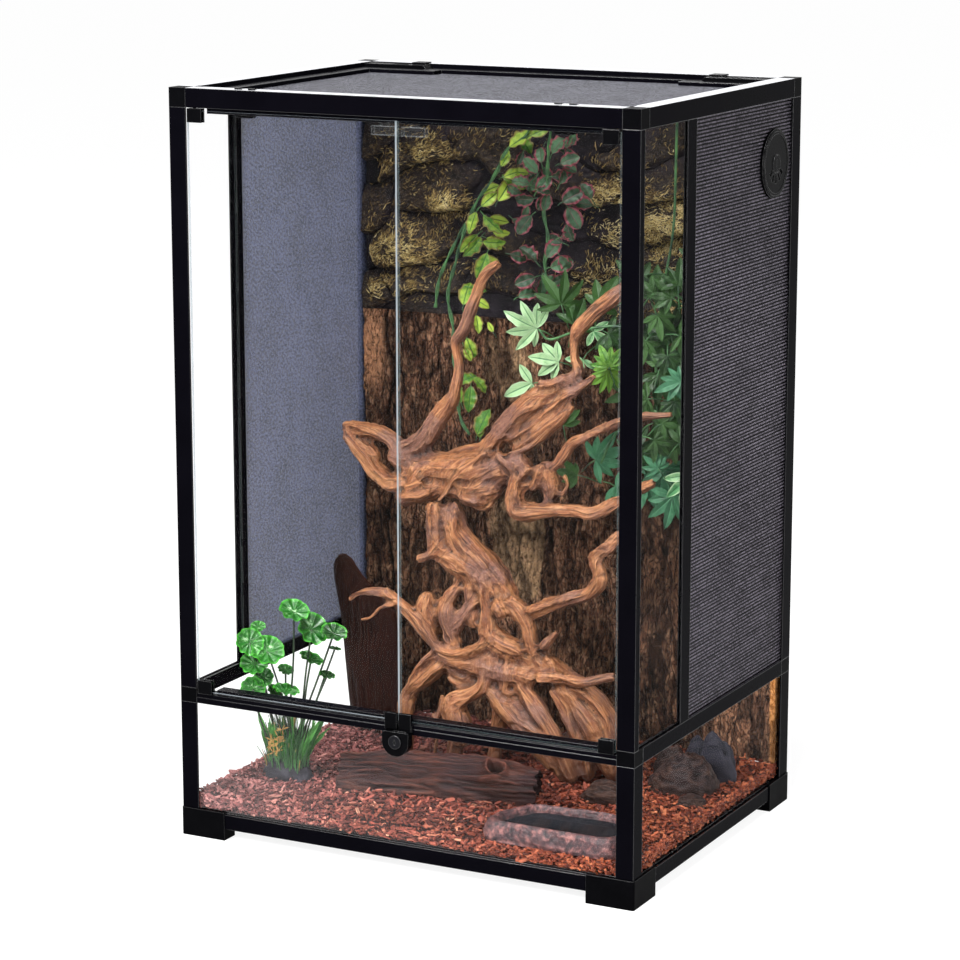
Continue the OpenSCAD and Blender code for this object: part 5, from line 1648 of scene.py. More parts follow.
@dataclass
class Cobbles:
    """The rounded lumps on the chips at the right."""

    rows: Line = (
        (174, -27, 44, 22, 29), (232, 66, 46, 38, 52), (262, 10, 20, 24, 15), (200, 100, 28, 18, 44),
    )
    fins: Line = ((252, 112, 32, 11, 68), (224, 118, 24, 9, 62))

    def build(self) -> None:
        """Makes every lump in one piece."""
        self.heap("cobbles", self.rows, COBBLE, ("stones",), 9)
        self.heap("slate_fins", self.fins, COBBLE_DARK, (), 2)

    def heap(self, name: str, rows: Sequence[Row], finish: Finish, stands_for: Names, crags: float) -> None:
        """Makes the lumps of one kind."""
        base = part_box("stones")[0].z
        shell = Shell()
        for k, (x, y, a, b, c) in enumerate(rows):
            ball = dome(91, 46, -0.4)
            size = 0.84 + 0.5 * (swell(ball + 5 * k, (1.3, 1.3, 1.3), 3) - 0.5)
            size += 0.016 * crags * (ridged(ball + k, (3, 3, 8), 4) - 0.4)
            points = spot(x, y, 0) + ball * size[..., None] * np.array([a, b, c]) * MM + (0, 0, base)
            points[..., 2] = np.maximum(points[..., 2], base)
            shell.grid(points, ball * np.array([a, b, c]) * MM + k)
        shell.piece(name, finish, "stone", stands_for)


@dataclass
class Blade:
    """One leaf blade: a curved sheet folded along its rib."""

    length: float
    width: float
    point: float = 1.0
    belly: float = 0.45
    droop: float = 0.5
    fold: float = 0.35
    ruffle: float = 0.0

    def outline(self, u: np.ndarray) -> np.ndarray:
        """Half the width at each way along, as a share of the blade's width."""
        bulge = np.where(u < self.belly, u / self.belly, (1 - u) / (1 - self.belly))
        return 0.5 * np.sin(bulge * math.pi / 2) ** self.point

    def grow(self, shell: Shell, root: np.ndarray, ahead: np.ndarray, up: np.ndarray, tone: float) -> None:
        """Adds the blade.

        Args:
            shell: Where it goes.
            root: Where it starts.
            ahead: The direction it starts in.
            up: The side its face looks to.
            tone: Its tone, from 0 to 1.
        """
        ahead = unit(ahead)
        side = unit(np.cross(ahead, up))
        up = np.cross(side, ahead)
        u, v = np.linspace(0, 1, 13), np.linspace(-1, 1, 7)
        bend = self.droop * u
        step = self.length / (len(u) - 1)
        line = np.cumsum((np.cos(bend)[:, None] * ahead - np.sin(bend)[:, None] * up) * step, axis=0)
        line = root + line - line[0]
        lift = np.sin(bend)[:, None] * ahead + np.cos(bend)[:, None] * up
        half = self.outline(u)[:, None] * self.width
        wave = self.ruffle * np.sin(u[:, None] * 21 + 2 * np.sign(v)) * np.abs(v) ** 2 * half
        raised = (self.fold * np.abs(v) * half) + wave
        spread = side * (v * half * math.cos(self.fold))[..., None]
        points = line[:, None] + spread + lift[:, None] * raised[..., None]
        coords = np.stack(np.broadcast_arrays(u[:, None], v, np.array(tone)), axis=-1)
        shell.grid(points, coords)


TOWARD_CAMERA = np.array([0.44, -0.86, 0.2])


def facing(angle: float, lean: float, rng: Rng) -> tuple[np.ndarray, np.ndarray]:
    """A direction that shows at an angle in the picture, and a face turned about to the camera.

    Args:
        angle: Degrees anticlockwise from the right.
        lean: How far the face is turned away.
        rng: The source of its scatter.

    Returns:
        The direction and the face's side.
    """
    right, lift = np.array([0.89, 0.46, 0.0]), np.array([-0.09, 0.18, 0.98])
    turn = math.radians(angle)
    ahead = math.cos(turn) * right + math.sin(turn) * lift
    return ahead, unit(TOWARD_CAMERA + lean * rng.normal(0, 1, 3))


@dataclass
class HangingVine:
    """A vine on its stem with leaves at given places: x, y, z, angle in the picture and length."""

    node: str
    stems: tuple[Line, ...]
    leaves: Line
    blade: Blade
    finish: Finish
    slot: str
    seed: int
    spare: int = 0
    size: float = 0.86

    def build(self, name: str) -> None:
        """Makes the stem and the leaves."""
        rng = np.random.default_rng(self.seed)
        stems, leaves = Shell(), Shell()
        for rows in self.stems:
            line = smooth_line([(*row, 1.5) for row in rows], 3 * MM)
            for k in range(2):
                angle = np.arange(len(line)) * 0.35 + math.pi * k
                twist = np.stack([np.cos(angle), np.sin(angle), 0 * angle], axis=-1) * 1.3 * MM
                stems.tube(line[:, :3] + twist, line[:, 3] * 0.8, 6)
        for x, y, z, angle, length in self.leaves:
            self.leaf(leaves, stems, spot(x, y, z), angle, length * self.size * MM, rng)
        for k in range(self.spare):
            row = self.leaves[k % len(self.leaves)]
            place = spot(*row[:3]) + rng.normal(0, 11 * MM, 3) * (1, 0.6, 1) + (0, 6 * MM, 0)
            angle, share = rng.uniform(0, 360), rng.uniform(0.6, 0.95)
            self.leaf(leaves, stems, place, angle, row[4] * self.size * MM * share, rng)
        stems.piece(name + "_stem", Stem(), self.slot, (self.node,))
        leaves.piece(name + "_leaves", self.finish, self.slot)

    def leaf(self, leaves: Shell, stems: Shell, place: np.ndarray, angle: float, length: float,
             rng: Rng) -> None:
        """Adds one leaf centred on a place, with its stalk."""
        ahead, up = facing(angle, 0.35, rng)
        blade = replace(self.blade, length=length, width=length * self.blade.width, droop=rng.uniform(0.1, 0.9))
        root = place - ahead * length * 0.45
        start = root - ahead * 7 * MM + (0, 2 * MM, -1 * MM)
        stalk = np.stack([start, root - ahead * 3 * MM, root + ahead * 2 * MM])
        stems.tube(stalk, (0.7 * MM, 0.6 * MM, 0.5 * MM), 5)
        blade.grow(leaves, root, ahead, up, float(rng.uniform(0, 1)))


@dataclass
class StarPlant:
    """A plant of fingered leaves: x, y, z, angle in the picture, length, tone and fingers."""

    stars: Line
    stems: tuple[Line, ...]
    seed: int = 9

    def build(self) -> None:
        """Makes the stems and every leaf."""
        rng = np.random.default_rng(self.seed)
        stems = Shell()
        tones = [Shell() for _ in STAR_LEAVES]
        for rows in self.stems:
            line = smooth_line([(*row, 1.6) for row in rows], 4 * MM)
            stems.tube(line[:, :3], line[:, 3], 7)
        for x, y, z, angle, length, shade, fingers in self.stars:
            self.star(tones[int(shade)], stems, spot(x, y, z), angle, length * MM, int(fingers), rng)
        stems.piece("star_plant_stems", Stem(), "star_leaves", ("leaf_cluster",))
        for shell, finish in zip(tones, STAR_LEAVES):
            if shell.count:
                shell.piece("star_leaves_" + finish.kind, finish, "star_leaves")

    def star(self, leaves: Shell, stems: Shell, place: np.ndarray, angle: float, length: float, fingers: int,
             rng: Rng) -> None:
        """Adds one fingered leaf round its stalk's end."""
        _, up = facing(angle, 0.22, rng)
        spread = 200 if fingers >= 6 else 150
        tone = float(rng.uniform(0.2, 1))
        for k in range(fingers):
            share = k / (fingers - 1) - 0.5
            ahead, _ = facing(angle + spread * share, 0, rng)
            reach = length * (1 - 0.75 * abs(share)) * rng.uniform(0.88, 1.1)
            wide = reach * (0.42 if fingers < 6 else 0.33)
            blade = Blade(reach, wide, 0.85, 0.45, rng.uniform(0.1, 0.6), 0.3, 0.16)
            blade.grow(leaves, place, ahead - up * rng.uniform(-0.05, 0.25), up, tone)
        back = facing(angle + 180, 0, rng)[0]
        bend = place + back * 10 * MM + (0, 4 * MM, -2 * MM)
        stalk = np.stack([place, bend, place + back * 24 * MM + (0, 14 * MM, -9 * MM)])
        stems.tube(stalk, (0.7 * MM, 0.8 * MM, 0.9 * MM), 6)


@dataclass
class Pennywort:
    """Round scalloped leaves on thin stalks over a tuft of grass: x, y, z, radius and how edge-on."""

    pads: Line
    base: Row = (-222, -112)
    grass_blades: int = 330
    sedge_blades: int = 26
    heads: int = 9
    seed: int = 3

    def pad(self, leaves: Shell, place: np.ndarray, radius: float, up: np.ndarray, tone: float,
            rng: Rng) -> None:
        """Adds one dished, scalloped leaf."""
        up = unit(up)
        side = unit(np.cross(up, (0.3, 0.2, 0.9)))
        other = np.cross(up, side)
        turn, out = np.meshgrid(np.linspace(0, TURN, 73), np.linspace(0, 1, 9))
        lobes = int(rng.integers(8, 11))
        start = rng.uniform(0, 6)
        scallop = 1 + 0.11 * np.abs(np.sin(turn * lobes / 2 + start)) * out**2 - 0.05
        reach = radius * out * scallop
        rise = radius * (0.22 * out**2 - 0.05 + 0.07 * out**2 * np.cos(turn * lobes + 2 * start))
        points = place + reach[..., None] * (np.cos(turn)[..., None] * side + np.sin(turn)[..., None] * other)
        points = points + rise[..., None] * up
        leaves.grid(points, np.stack([turn * lobes / 2 + start, out, np.full_like(out, tone)], axis=-1))

    def build(self) -> None:
        """Makes the stalks and leaves, the tuft, the sedge and florets in it, and the stone that holds it."""
        rng = np.random.default_rng(self.seed)
        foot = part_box("pennywort")[0].z / MM
        self.grow_pads(foot, rng)
        self.grow_tuft(foot, rng)
        self.grow_sedge(foot, rng)
        self.lay_stone(foot)

    def grow_pads(self, foot: float, rng: Rng) -> None:
        """Makes every round leaf with its stalk."""
        leaves, stalks = Shell(), Shell()
        for x, y, z, radius, edge in self.pads:
            place = spot(x, y, z)
            up = (1 - edge) * TOWARD_CAMERA + edge * np.array([0.1, 0.25, 1]) + rng.normal(0, 0.14, 3)
            self.pad(leaves, place, radius * MM, up, float(rng.uniform(0, 1)), rng)
            start = (self.base[0] + rng.uniform(-16, 18), self.base[1] + rng.uniform(-10, 10), foot + 20)
            knee_x = x * 0.62 + start[0] * 0.38 + rng.uniform(-6, 6)
            knee = (knee_x, y * 0.6 + start[1] * 0.4, foot + (z - foot) * 0.66)
            line = smooth_line([(*start, 1.1), (*knee, 1.0), (x, y, z - 1, 0.9)], 4 * MM)
            stalks.tube(line[:, :3], line[:, 3], 6)
        leaves.piece("pennywort_leaves", PadLeaf(), "pennywort_leaves", ("pennywort",))
        stalk = Stem("stalk", (0.03, 0.06, 0.025), (0.008, 0.02, 0.01))
        stalks.piece("pennywort_stalks", stalk, "pennywort_leaves")

    def grow_tuft(self, foot: float, rng: Rng) -> None:
        """Makes the grass, with a straw among the blades here and there."""
        grass, straw = Shell(), Shell()
        for k in range(self.grass_blades):
            turn, far = rng.uniform(0, TURN), rng.uniform(2, 27)
            x, y = self.base[0] + far * math.cos(turn), self.base[1] + far * 0.7 * math.sin(turn)
            tall = rng.uniform(38, 92) * (1.1 - far / 60)
            lean = np.array([math.cos(turn), math.sin(turn)]) * rng.uniform(0, 14)
            rows = [(x, y, foot + 1, 1), (x + lean[0] * 0.3, y + lean[1] * 0.3, foot + tall * 0.55, 1),
                    (x + lean[0], y + lean[1], foot + tall, 1)]
            line = smooth_line(rows, 12 * MM)
            target = straw if k % 9 == 0 or (far < 9 and k % 2 == 0) else grass
            target.tube(line[:, :3], np.linspace(1.1, 0.35, len(line)) * MM, 4, float(rng.uniform(0, 1)))
        green = Stem("tuft", (0.085, 0.26, 0.075), (0.015, 0.080, 0.022))
        yellow = Stem("straw", (0.50, 0.36, 0.12), (0.26, 0.15, 0.05))
        grass.piece("pennywort_tuft", green, "pennywort_leaves")
        straw.piece("pennywort_straw", yellow, "pennywort_leaves")

    def grow_sedge(self, foot: float, rng: Rng) -> None:
        """Makes the broad wavy blades and the pale florets."""
        sedge, florets = Shell(), Shell()
        for _ in range(self.sedge_blades):
            turn = rng.uniform(0, TURN)
            root = spot(self.base[0] + 15 * math.cos(turn), self.base[1] + 9 * math.sin(turn), foot + 8)
            ahead = np.array([0.45 * math.cos(turn), 0.3 * math.sin(turn), 1.0])
            tall = rng.uniform(48, 84) * MM
            blade = Blade(tall, 6.5 * MM, 0.6, 0.5, rng.uniform(0.2, 0.8), 0.4, 0.5)
            blade.grow(sedge, root, ahead, TOWARD_CAMERA + rng.normal(0, 0.3, 3), float(rng.uniform(0, 1)))
        for _ in range(self.heads):
            head = spot(self.base[0] - 4 + rng.uniform(-15, 9), self.base[1] - 20, foot + rng.uniform(34, 66))
            for _ in range(7):
                ahead, up = facing(rng.uniform(0, 360), 0.3, rng)
                petal = Blade(rng.uniform(6, 10) * MM, 1.5 * MM)
                petal.grow(florets, head, ahead, up, float(rng.uniform(0, 1)))
        sedge.piece("pennywort_sedge", SEDGE_LEAF, "pennywort_leaves")
        ochre = Stem("floret", (0.72, 0.47, 0.13), (0.42, 0.22, 0.06))
        florets.piece("pennywort_florets", ochre, "pennywort_leaves")

    def lay_stone(self, foot: float) -> None:
        """Makes the stone at the plant's foot."""
        rock = Shell()
        ball = dome(61, 24, -0.1)
        size = 0.85 + 0.4 * (swell(ball, (2.2, 2.2, 2.2), 4) - 0.3)
        stone = spot(*self.base, foot) + ball * size[..., None] * np.array([35, 26, 30]) * MM
        stone[..., 2] = np.maximum(stone[..., 2], foot * MM)
        rock.grid(stone, ball * 0.03)
        rock.piece("pennywort_weight", COBBLE_DARK, "stone")


UPPER_LIMBS = (
    ((-224, 36, 460, 8), (-207, 36, 462, 11), (-182, 36, 461, 11), (-158, 36, 452, 9), (-144, 36, 440, 11),
     (-128, 36, 444, 12)),
    ((-218, 30, 455, 7), (-193, 30, 432, 10), (-171, 30, 409, 13), (-146, 30, 400, 14),
     (-119, 32, 410, 14)),
    ((-148, 38, 437, 13), (-126, 38, 444, 14), (-107, 38, 459, 13), (-91, 38, 483, 12), (-77, 38, 503, 10),
     (-69, 38, 518, 8), (-64, 40, 552, 6), (-69, 40, 578, 6), (-58, 38, 595, 7), (-48, 38, 617, 7),
     (-37, 38, 647, 6), (-24, 38, 669, 6), (-8, 38, 683, 4)),
    ((-131, 42, 428, 12), (-104, 42, 434, 10), (-77, 42, 436, 10), (-50, 42, 446, 10), (-23, 42, 453, 10),
     (-7, 42, 471, 12)),
    ((-128, 36, 415, 14), (-95, 36, 414, 15), (-68, 36, 412, 17), (-36, 36, 415, 19), (-12, 34, 422, 17),
     (14, 30, 429, 16)),
    ((-140, 24, 377, 8), (-123, 24, 384, 10), (-104, 28, 391, 10), (-80, 30, 402, 12)),
    ((-60, 30, 397, 12), (-38, 28, 392, 13), (-20, 28, 392, 12), (-17, 30, 411, 13)),
    ((-33, 40, 445, 12), (-9, 42, 471, 14), (12, 44, 492, 16), (33, 46, 513, 16), (54, 50, 529, 15),
     (78, 54, 542, 11), (88, 58, 555, 8), (83, 58, 573, 6), (83, 58, 594, 7), (93, 58, 609, 9),
     (114, 58, 629, 9), (134, 58, 645, 9), (152, 58, 665, 7), (160, 58, 688, 4)),
    ((1, 46, 462, 12), (28, 48, 488, 12), (49, 50, 506, 12), (70, 50, 520, 9), (93, 50, 536, 6),
     (116, 50, 553, 3)),
    ((43, 36, 537, 4), (61, 40, 539, 6), (80, 48, 546, 7)),
    ((15, 14, 453, 2), (38, 14, 462, 3), (56, 18, 475, 3), (66, 24, 486, 2)),
    ((51, 30, 441, 5), (69, 30, 441, 5), (82, 30, 454, 6), (95, 30, 471, 6), (113, 30, 482, 5),
     (139, 32, 494, 5), (172, 34, 509, 5), (205, 36, 514, 4), (222, 38, 516, 3)),
    ((42, 22, 444, 15), (29, 20, 426, 13), (23, 18, 402, 12), (26, 18, 383, 11), (50, 18, 384, 10),
     (78, 18, 389, 8), (102, 18, 391, 8), (127, 18, 389, 8), (150, 20, 401, 8), (178, 22, 420, 7),
     (207, 24, 437, 6)),
    ((60, 24, 444, 9), (55, 22, 429, 9), (42, 22, 411, 6)),
    ((84, 26, 435, 3), (91, 26, 421, 2), (80, 26, 403, 2)),
    ((-11, 14, 454, 3), (-34, 14, 437, 4), (-56, 14, 417, 4), (-68, 14, 399, 3), (-79, 14, 386, 3)),
    ((-1, 14, 455, 4), (12, 12, 445, 5), (24, 14, 431, 5)),
    ((-6, 14, 435, 3), (-27, 14, 424, 4), (-40, 16, 416, 3)),
    ((-110, 18, 418, 5), (-118, 18, 403, 5), (-126, 18, 390, 4)),
)
UPPER_MASSES = (
    ((-222, 33, 452, 8), (-205, 33, 447, 9), (-192, 33, 441, 8)),
    ((-160, 34, 434, 11), (-142, 34, 430, 15), (-120, 36, 430, 15)),
    ((-140, 34, 418, 15), (-105, 34, 420, 20), (-70, 32, 425, 23), (-35, 32, 428, 24), (-5, 32, 432, 20),
     (20, 32, 440, 15)),
    ((-100, 30, 398, 12), (-60, 30, 402, 16), (-20, 28, 405, 17), (2, 28, 412, 13)),
    ((-20, 44, 471, 10), (10, 46, 498, 13), (40, 48, 522, 12), (64, 50, 538, 8)),
    ((10, 42, 449, 11), (40, 44, 472, 12), (67, 48, 495, 10), (88, 50, 516, 5)),
    ((-216, 34, 451, 8), (-200, 34, 444, 11), (-186, 34, 436, 11), (-172, 34, 424, 11)),
    ((14, 20, 450, 13), (28, 20, 441, 17), (40, 20, 430, 15)),
    ((50, 30, 444, 11), (62, 30, 428, 14), (66, 30, 408, 12), (60, 28, 396, 9)),
    ((-128, 16, 396, 5), (-112, 14, 402, 6), (-98, 14, 410, 5)),
    ((-138, 16, 384, 5), (-120, 14, 388, 6), (-100, 14, 392, 6), (-88, 16, 400, 4)),
)
LOWER_MASSES = (
    ((-74, 26, 384, 11), (-66, 26, 352, 14), (-56, 26, 330, 17), (-36, 26, 316, 18), (-14, 26, 300, 17),
     (2, 26, 284, 15)),
    ((-88, 22, 340, 10), (-84, 22, 322, 12), (-66, 22, 308, 14), (-44, 22, 298, 14), (-24, 20, 286, 12)),
    ((-96, 22, 270, 8), (-100, 20, 250, 15), (-96, 20, 230, 14), (-86, 20, 212, 9)),
    ((-50, 20, 286, 6), (-64, 18, 268, 11), (-68, 16, 250, 13), (-66, 16, 232, 12), (-58, 16, 212, 9)),
    ((-30, 20, 298, 12), (-36, 20, 272, 12), (-34, 20, 250, 11), (-28, 18, 228, 11)),
    ((0, 12, 274, 9), (8, 10, 262, 13), (14, 12, 248, 10)),
    ((-92, 20, 190, 9), (-60, 18, 190, 15), (-30, 18, 186, 18), (0, 18, 182, 18), (30, 18, 180, 17),
     (56, 20, 174, 13)),
    ((-62, 10, 140, 10), (-52, 8, 122, 16), (-47, 8, 100, 18), (-44, 8, 78, 14)),
    ((-12, 14, 162, 11), (14, 14, 138, 15), (38, 14, 116, 16), (62, 12, 92, 15), (84, 12, 66, 11)),
    ((70, 24, 190, 12), (95, 26, 165, 16), (115, 28, 140, 18), (132, 30, 112, 18), (146, 32, 80, 16),
     (156, 32, 56, 12)),
    ((-118, 14, 140, 12), (-126, 14, 118, 13), (-128, 14, 84, 13)),
)
LOWER_LIMBS = (
    ((-87, 20, 384, 10), (-86, 20, 350, 10), (-82, 20, 325, 12), (-60, 20, 311, 13), (-36, 20, 302, 13),
     (-18, 20, 288, 13), (-3, 20, 270, 13)),
    ((-68, 28, 384, 12), (-60, 28, 350, 16), (-46, 28, 333, 17), (-26, 28, 316, 17), (-8, 28, 300, 16),
     (5, 28, 280, 15), (18, 26, 266, 13)),
    ((-78, 14, 329, 6), (-94, 14, 315, 5), (-110, 14, 309, 4)),
    ((-19, 14, 288, 10), (-13, 14, 265, 9), (-9, 14, 242, 10), (-5, 14, 226, 12), (17, 14, 215, 13),
     (40, 14, 206, 11)),
    ((15, 18, 277, 10), (31, 18, 260, 11), (42, 18, 243, 10), (47, 18, 218, 10), (55, 18, 202, 11)),
    ((-55, 26, 286, 4), (-66, 26, 266, 7), (-82, 26, 245, 12), (-90, 26, 225, 12), (-84, 26, 209, 9)),
    ((-27, 18, 272, 6), (-40, 18, 252, 11), (-53, 18, 236, 12), (-64, 18, 218, 11), (-51, 18, 205, 10)),
    ((-82, 12, 205, 6), (-72, 10, 200, 6), (-50, 8, 198, 6), (-29, 8, 206, 7), (-11, 10, 219, 8)),
    ((-80, 12, 202, 6), (-101, 12, 227, 8), (-115, 12, 239, 8), (-134, 12, 254, 6), (-147, 12, 262, 6),
     (-169, 12, 262, 5), (-194, 12, 257, 4), (-204, 12, 247, 3)),
    ((-136, 8, 252, 4), (-156, 8, 245, 3), (-170, 8, 231, 3), (-187, 8, 224, 2)),
    ((-145, 10, 260, 4), (-152, 10, 272, 3)),
    ((-72, 18, 183, 11), (-99, 16, 159, 10), (-118, 14, 142, 10), (-126, 14, 125, 10), (-127, 14, 93, 10),
     (-128, 14, 52, 9)),
    ((-84, 10, 196, 4), (-103, 10, 177, 3), (-114, 10, 162, 2), (-120, 10, 153, 1)),
    ((-68, 22, 191, 11), (-54, 22, 183, 13), (-33, 22, 186, 13), (-9, 22, 193, 12), (14, 22, 196, 11),
     (41, 22, 193, 12), (64, 22, 191, 12)),
    ((-66, 22, 172, 12), (-45, 22, 165, 12), (-29, 22, 172, 11)),
    ((-14, 12, 187, 8), (-13, 10, 167, 8), (-25, 8, 151, 9), (-48, 8, 139, 11), (-57, 8, 124, 12),
     (-50, 10, 104, 11), (-60, 12, 54, 9)),
    ((19, 10, 195, 6), (17, 10, 174, 6), (13, 10, 158, 5), (27, 10, 156, 4)),
    ((-2, 16, 149, 11), (11, 16, 136, 12), (32, 16, 125, 13), (53, 14, 114, 12), (78, 14, 98, 11),
     (98, 16, 54, 9)),
    ((30, 14, 170, 8), (49, 14, 151, 10), (64, 12, 132, 10), (82, 12, 108, 9), (110, 12, 54, 8)),
    ((58, 22, 204, 12), (78, 24, 190, 12), (99, 28, 175, 13), (120, 30, 163, 14), (135, 32, 147, 13),
     (148, 34, 123, 13), (158, 36, 54, 10)),
    ((74, 20, 170, 7), (87, 22, 153, 9), (99, 24, 134, 11), (107, 26, 108, 12), (122, 28, 54, 10)),
    ((62, 14, 214, 7), (72, 14, 229, 6), (84, 14, 243, 4)),
    ((57, 12, 181, 8), (91, 10, 185, 7), (122, 10, 183, 5), (147, 12, 191, 4), (163, 12, 196, 5)),
    ((43, 20, 259, 11), (74, 20, 274, 10), (98, 20, 282, 9), (123, 20, 292, 8), (135, 20, 307, 9),
     (136, 20, 321, 9), (131, 20, 336, 8), (144, 20, 349, 8), (156, 20, 360, 7), (165, 20, 371, 5)),
    ((-72, 12, 143, 3), (-76, 10, 121, 3), (-78, 10, 92, 3), (-84, 10, 54, 3)),
    ((-85, 10, 119, 3), (-79, 8, 110, 3), (-66, 8, 96, 3)),
    ((15, 18, 150, 7), (31, 18, 146, 7), (42, 18, 131, 8)),
    ((10, 24, 150, 9), (0, 26, 120, 9), (-10, 28, 54, 8)),
)
GREEN_STEMS = (
    ((-30, 168, 868), (-26, 150, 826), (-51, 146, 806), (-72, 146, 768), (-96, 146, 735), (-114, 146, 693),
     (-124, 146, 660), (-135, 146, 618), (-128, 146, 580), (-127, 146, 547), (-121, 144, 492),
     (-114, 142, 461), (-102, 142, 444)),
    ((-100, 150, 728), (-124, 152, 690), (-150, 154, 640), (-157, 154, 600)),
)
GREEN_LEAVES = (
    (-34, 146, 818, 35, 44), (-55, 146, 792, 60, 26), (-53, 144, 755, 55, 44), (-76, 144, 742, 40, 34),
    (-99, 144, 713, 250, 34), (-72, 142, 712, 310, 40), (-69, 142, 688, 350, 36), (-96, 142, 682, 235, 40),
    (-84, 142, 660, 250, 42), (-109, 144, 623, 80, 40), (-86, 144, 612, 330, 26),
    (-102, 144, 554, 290, 36), (-108, 144, 515, 30, 34), (-102, 142, 491, 265, 40),
    (-85, 142, 462, 70, 44), (-92, 144, 586, 280, 28), (-46, 148, 775, 20, 30),
)
RED_STEMS = (
    ((10, 170, 868), (6, 152, 838), (4, 146, 800), (2, 146, 765), (-2, 146, 730), (4, 146, 700),
     (0, 146, 668), (4, 146, 640)),
)
RED_LEAVES = (
    (17, 144, 814, 60, 34), (33, 144, 796, 20, 32), (-18, 144, 786, 130, 32), (-31, 144, 766, 160, 30),
    (24, 142, 778, 10, 34), (-1, 142, 765, 50, 32), (38, 142, 752, 30, 38), (-26, 142, 744, 190, 32),
    (40, 142, 727, 300, 38), (-26, 142, 715, 230, 36), (33, 144, 708, 280, 30), (-19, 142, 678, 130, 36),
    (12, 142, 686, 60, 34), (24, 142, 668, 15, 38), (-24, 142, 645, 200, 34), (-2, 142, 636, 270, 34),
    (14, 142, 646, 320, 30), (2, 144, 744, 260, 28), (-6, 144, 800, 100, 26),
)
STARS = (
    (4, 116, 591, 160, 46, 1, 7), (34, 116, 552, 170, 40, 1, 5), (-2, 116, 522, 200, 44, 1, 3),
    (33, 124, 622, 100, 52, 0, 6), (50, 124, 598, 60, 44, 0, 5), (64, 122, 556, 250, 34, 1, 3),
    (78, 122, 592, 320, 34, 1, 3), (84, 126, 622, 60, 44, 0, 5), (96, 126, 590, 330, 44, 0, 6),
    (100, 118, 546, 270, 34, 3, 8), (104, 112, 552, 100, 32, 3, 8), (38, 122, 472, 90, 40, 0, 5),
    (84, 118, 434, 20, 48, 2, 7), (112, 116, 404, 330, 42, 2, 6), (62, 112, 414, 170, 30, 0, 5),
    (130, 124, 446, 40, 46, 0, 6), (148, 122, 414, 330, 48, 2, 7), (161, 124, 640, 70, 50, 0, 6),
    (150, 124, 580, 20, 50, 0, 7), (166, 120, 548, 300, 52, 0, 7), (160, 124, 486, 10, 50, 0, 7),
    (176, 120, 430, 280, 54, 2, 7), (212, 112, 690, 40, 40, 0, 7), (214, 110, 634, 350, 46, 0, 7),
    (206, 110, 575, 300, 46, 0, 7), (212, 108, 505, 20, 50, 2, 7), (216, 106, 430, 290, 56, 1, 7),
    (190, 112, 400, 260, 46, 2, 7), (128, 130, 520, 180, 40, 0, 6), (134, 132, 655, 120, 42, 0, 6),
    (182, 116, 600, 100, 44, 0, 7), (186, 112, 470, 350, 46, 0, 7), (150, 104, 668, 200, 34, 0, 7),
    (172, 100, 622, 300, 34, 0, 6), (158, 98, 590, 240, 36, 0, 6), (178, 98, 560, 60, 32, 0, 6),
    (162, 96, 520, 190, 36, 0, 6), (182, 96, 492, 20, 34, 0, 7), (158, 98, 452, 250, 36, 0, 7),
    (178, 96, 436, 120, 30, 2, 6), (200, 98, 660, 80, 36, 0, 7), (204, 96, 600, 340, 36, 0, 7),
    (206, 96, 545, 200, 34, 2, 7), (198, 98, 520, 290, 34, 0, 7), (206, 96, 470, 30, 36, 0, 7),
    (190, 100, 645, 150, 34, 0, 6), (168, 98, 648, 30, 34, 0, 7), (188, 96, 575, 280, 32, 0, 6),
    (172, 96, 470, 330, 34, 0, 6),
)
STAR_STEMS = (
    ((165, 168, 868), (172, 150, 800), (174, 140, 720), (165, 134, 650), (158, 132, 590), (158, 132, 520),
     (168, 130, 430)),
    ((158, 132, 590), (110, 126, 600), (60, 122, 592), (20, 120, 578), (6, 118, 590)),
    ((158, 132, 500), (110, 126, 470), (90, 120, 430)),
    ((165, 134, 650), (200, 118, 640), (214, 112, 640)),
)
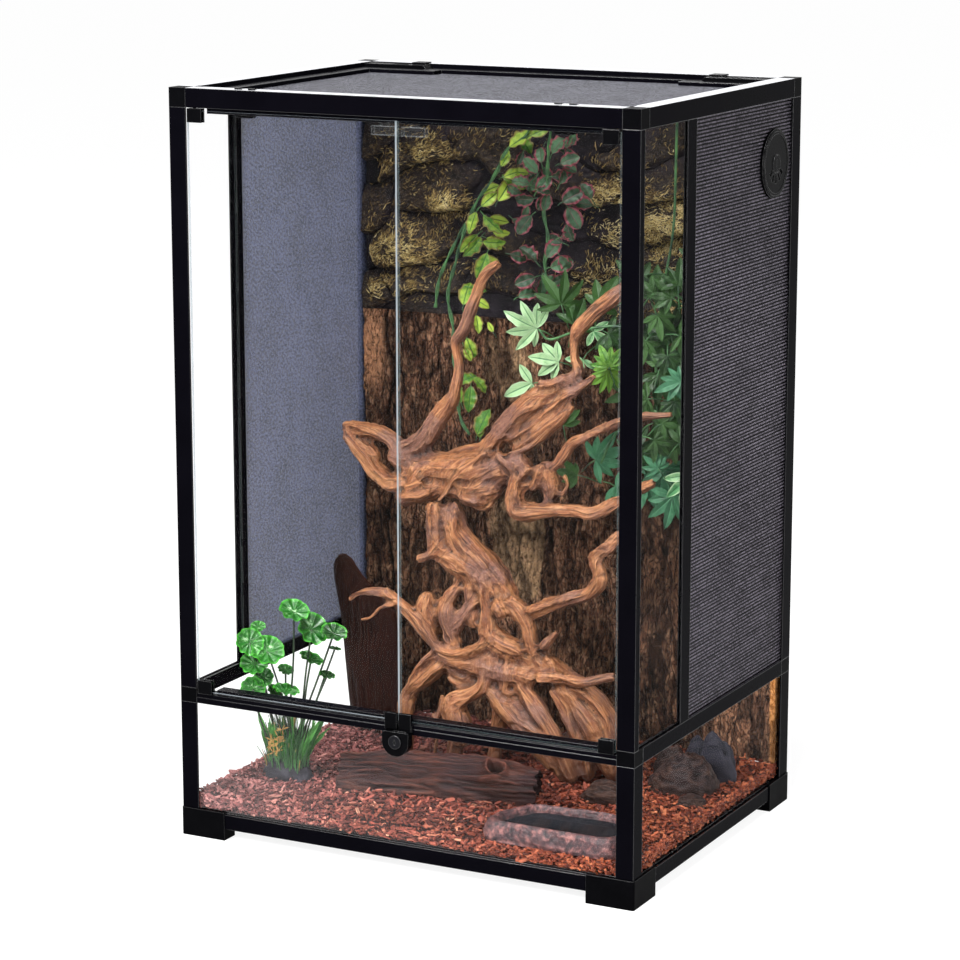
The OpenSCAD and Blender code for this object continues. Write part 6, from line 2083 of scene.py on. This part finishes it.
PADS = (
    (-188, -150, 272, 18, 0.8), (-169, -140, 250, 20, 0.42), (-146, -128, 245, 16, 0.5),
    (-245, -160, 229, 17, 0.35), (-226, -150, 218, 20, 0.38), (-241, -156, 202, 17, 0.5),
    (-246, -138, 243, 9, 0.6), (-232, -150, 184, 12, 0.4), (-241, -160, 171, 15, 0.2),
    (-177, -130, 209, 15, 0.8), (-203, -146, 170, 16, 0.85), (-161, -120, 188, 10, 0.9),
    (-151, -118, 222, 8, 0.9), (-223, -140, 163, 12, 0.6), (-214, -128, 190, 10, 0.8),
)


def furnish() -> None:
    """Builds everything inside the glass."""
    RockPanel().build("rock_relief", RockRelief(), "rock_panel")
    BarkPanel().build("bark_relief", CorkBark(), "bark_panel")
    Driftwood("driftwood_upper", UPPER_LIMBS, UPPER_MASSES, 21).build("gnarled_branches")
    Driftwood("driftwood_lower", LOWER_LIMBS, LOWER_MASSES, 12).build("gnarled_roots")
    ChipBed().build()
    BarkSlab().build()
    HollowLog().build()
    WaterDish().build()
    Cobbles().build()
    green, red = Blade(1, 0.58, 0.8, 0.42, ruffle=0.3), Blade(1, 0.76, 0.6, 0.5, ruffle=0.35)
    vine = HangingVine("vine_green", GREEN_STEMS, GREEN_LEAVES, green, VINE_LEAF, "vine_leaves", 4, 18)
    vine.build("green_vine")
    vine = HangingVine("vine_red", RED_STEMS, RED_LEAVES, red, RED_LEAF, "red_leaves", 8, 26, 0.8)
    vine.build("red_vine")
    StarPlant(STARS, STAR_STEMS).build()
    Pennywort(PADS).build()


def main() -> None:
    """Builds the studio and every part of the terrarium, in order."""
    logging.basicConfig(level=logging.INFO, format="%(name)s: %(message)s")
    Studio().build()
    Enclosure().build()
    WirePanel("mesh_left", "root").build("woven_mesh_left")
    low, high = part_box("port_ring")
    port = ((low.y + high.y) / 2, (low.z + high.z) / 2, (high.z - low.z) / 2 - 4 * MM)
    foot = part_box("mesh_right")[0].z
    shaded = WovenWire("shaded", (0.155, 0.140, 0.170), 4.1, foot + 1.025 * MM, 0.04)
    WirePanel("mesh_right", "root", (2.6, 2.05), (0.4, 0.75), port, shaded).build("woven_mesh_right")
    WirePanel("lid_mesh", "lid", finish=WovenWire("lid", (0.080, 0.080, 0.095))).build("woven_mesh_lid")
    furnish()


if __name__ == "__main__":
    main()
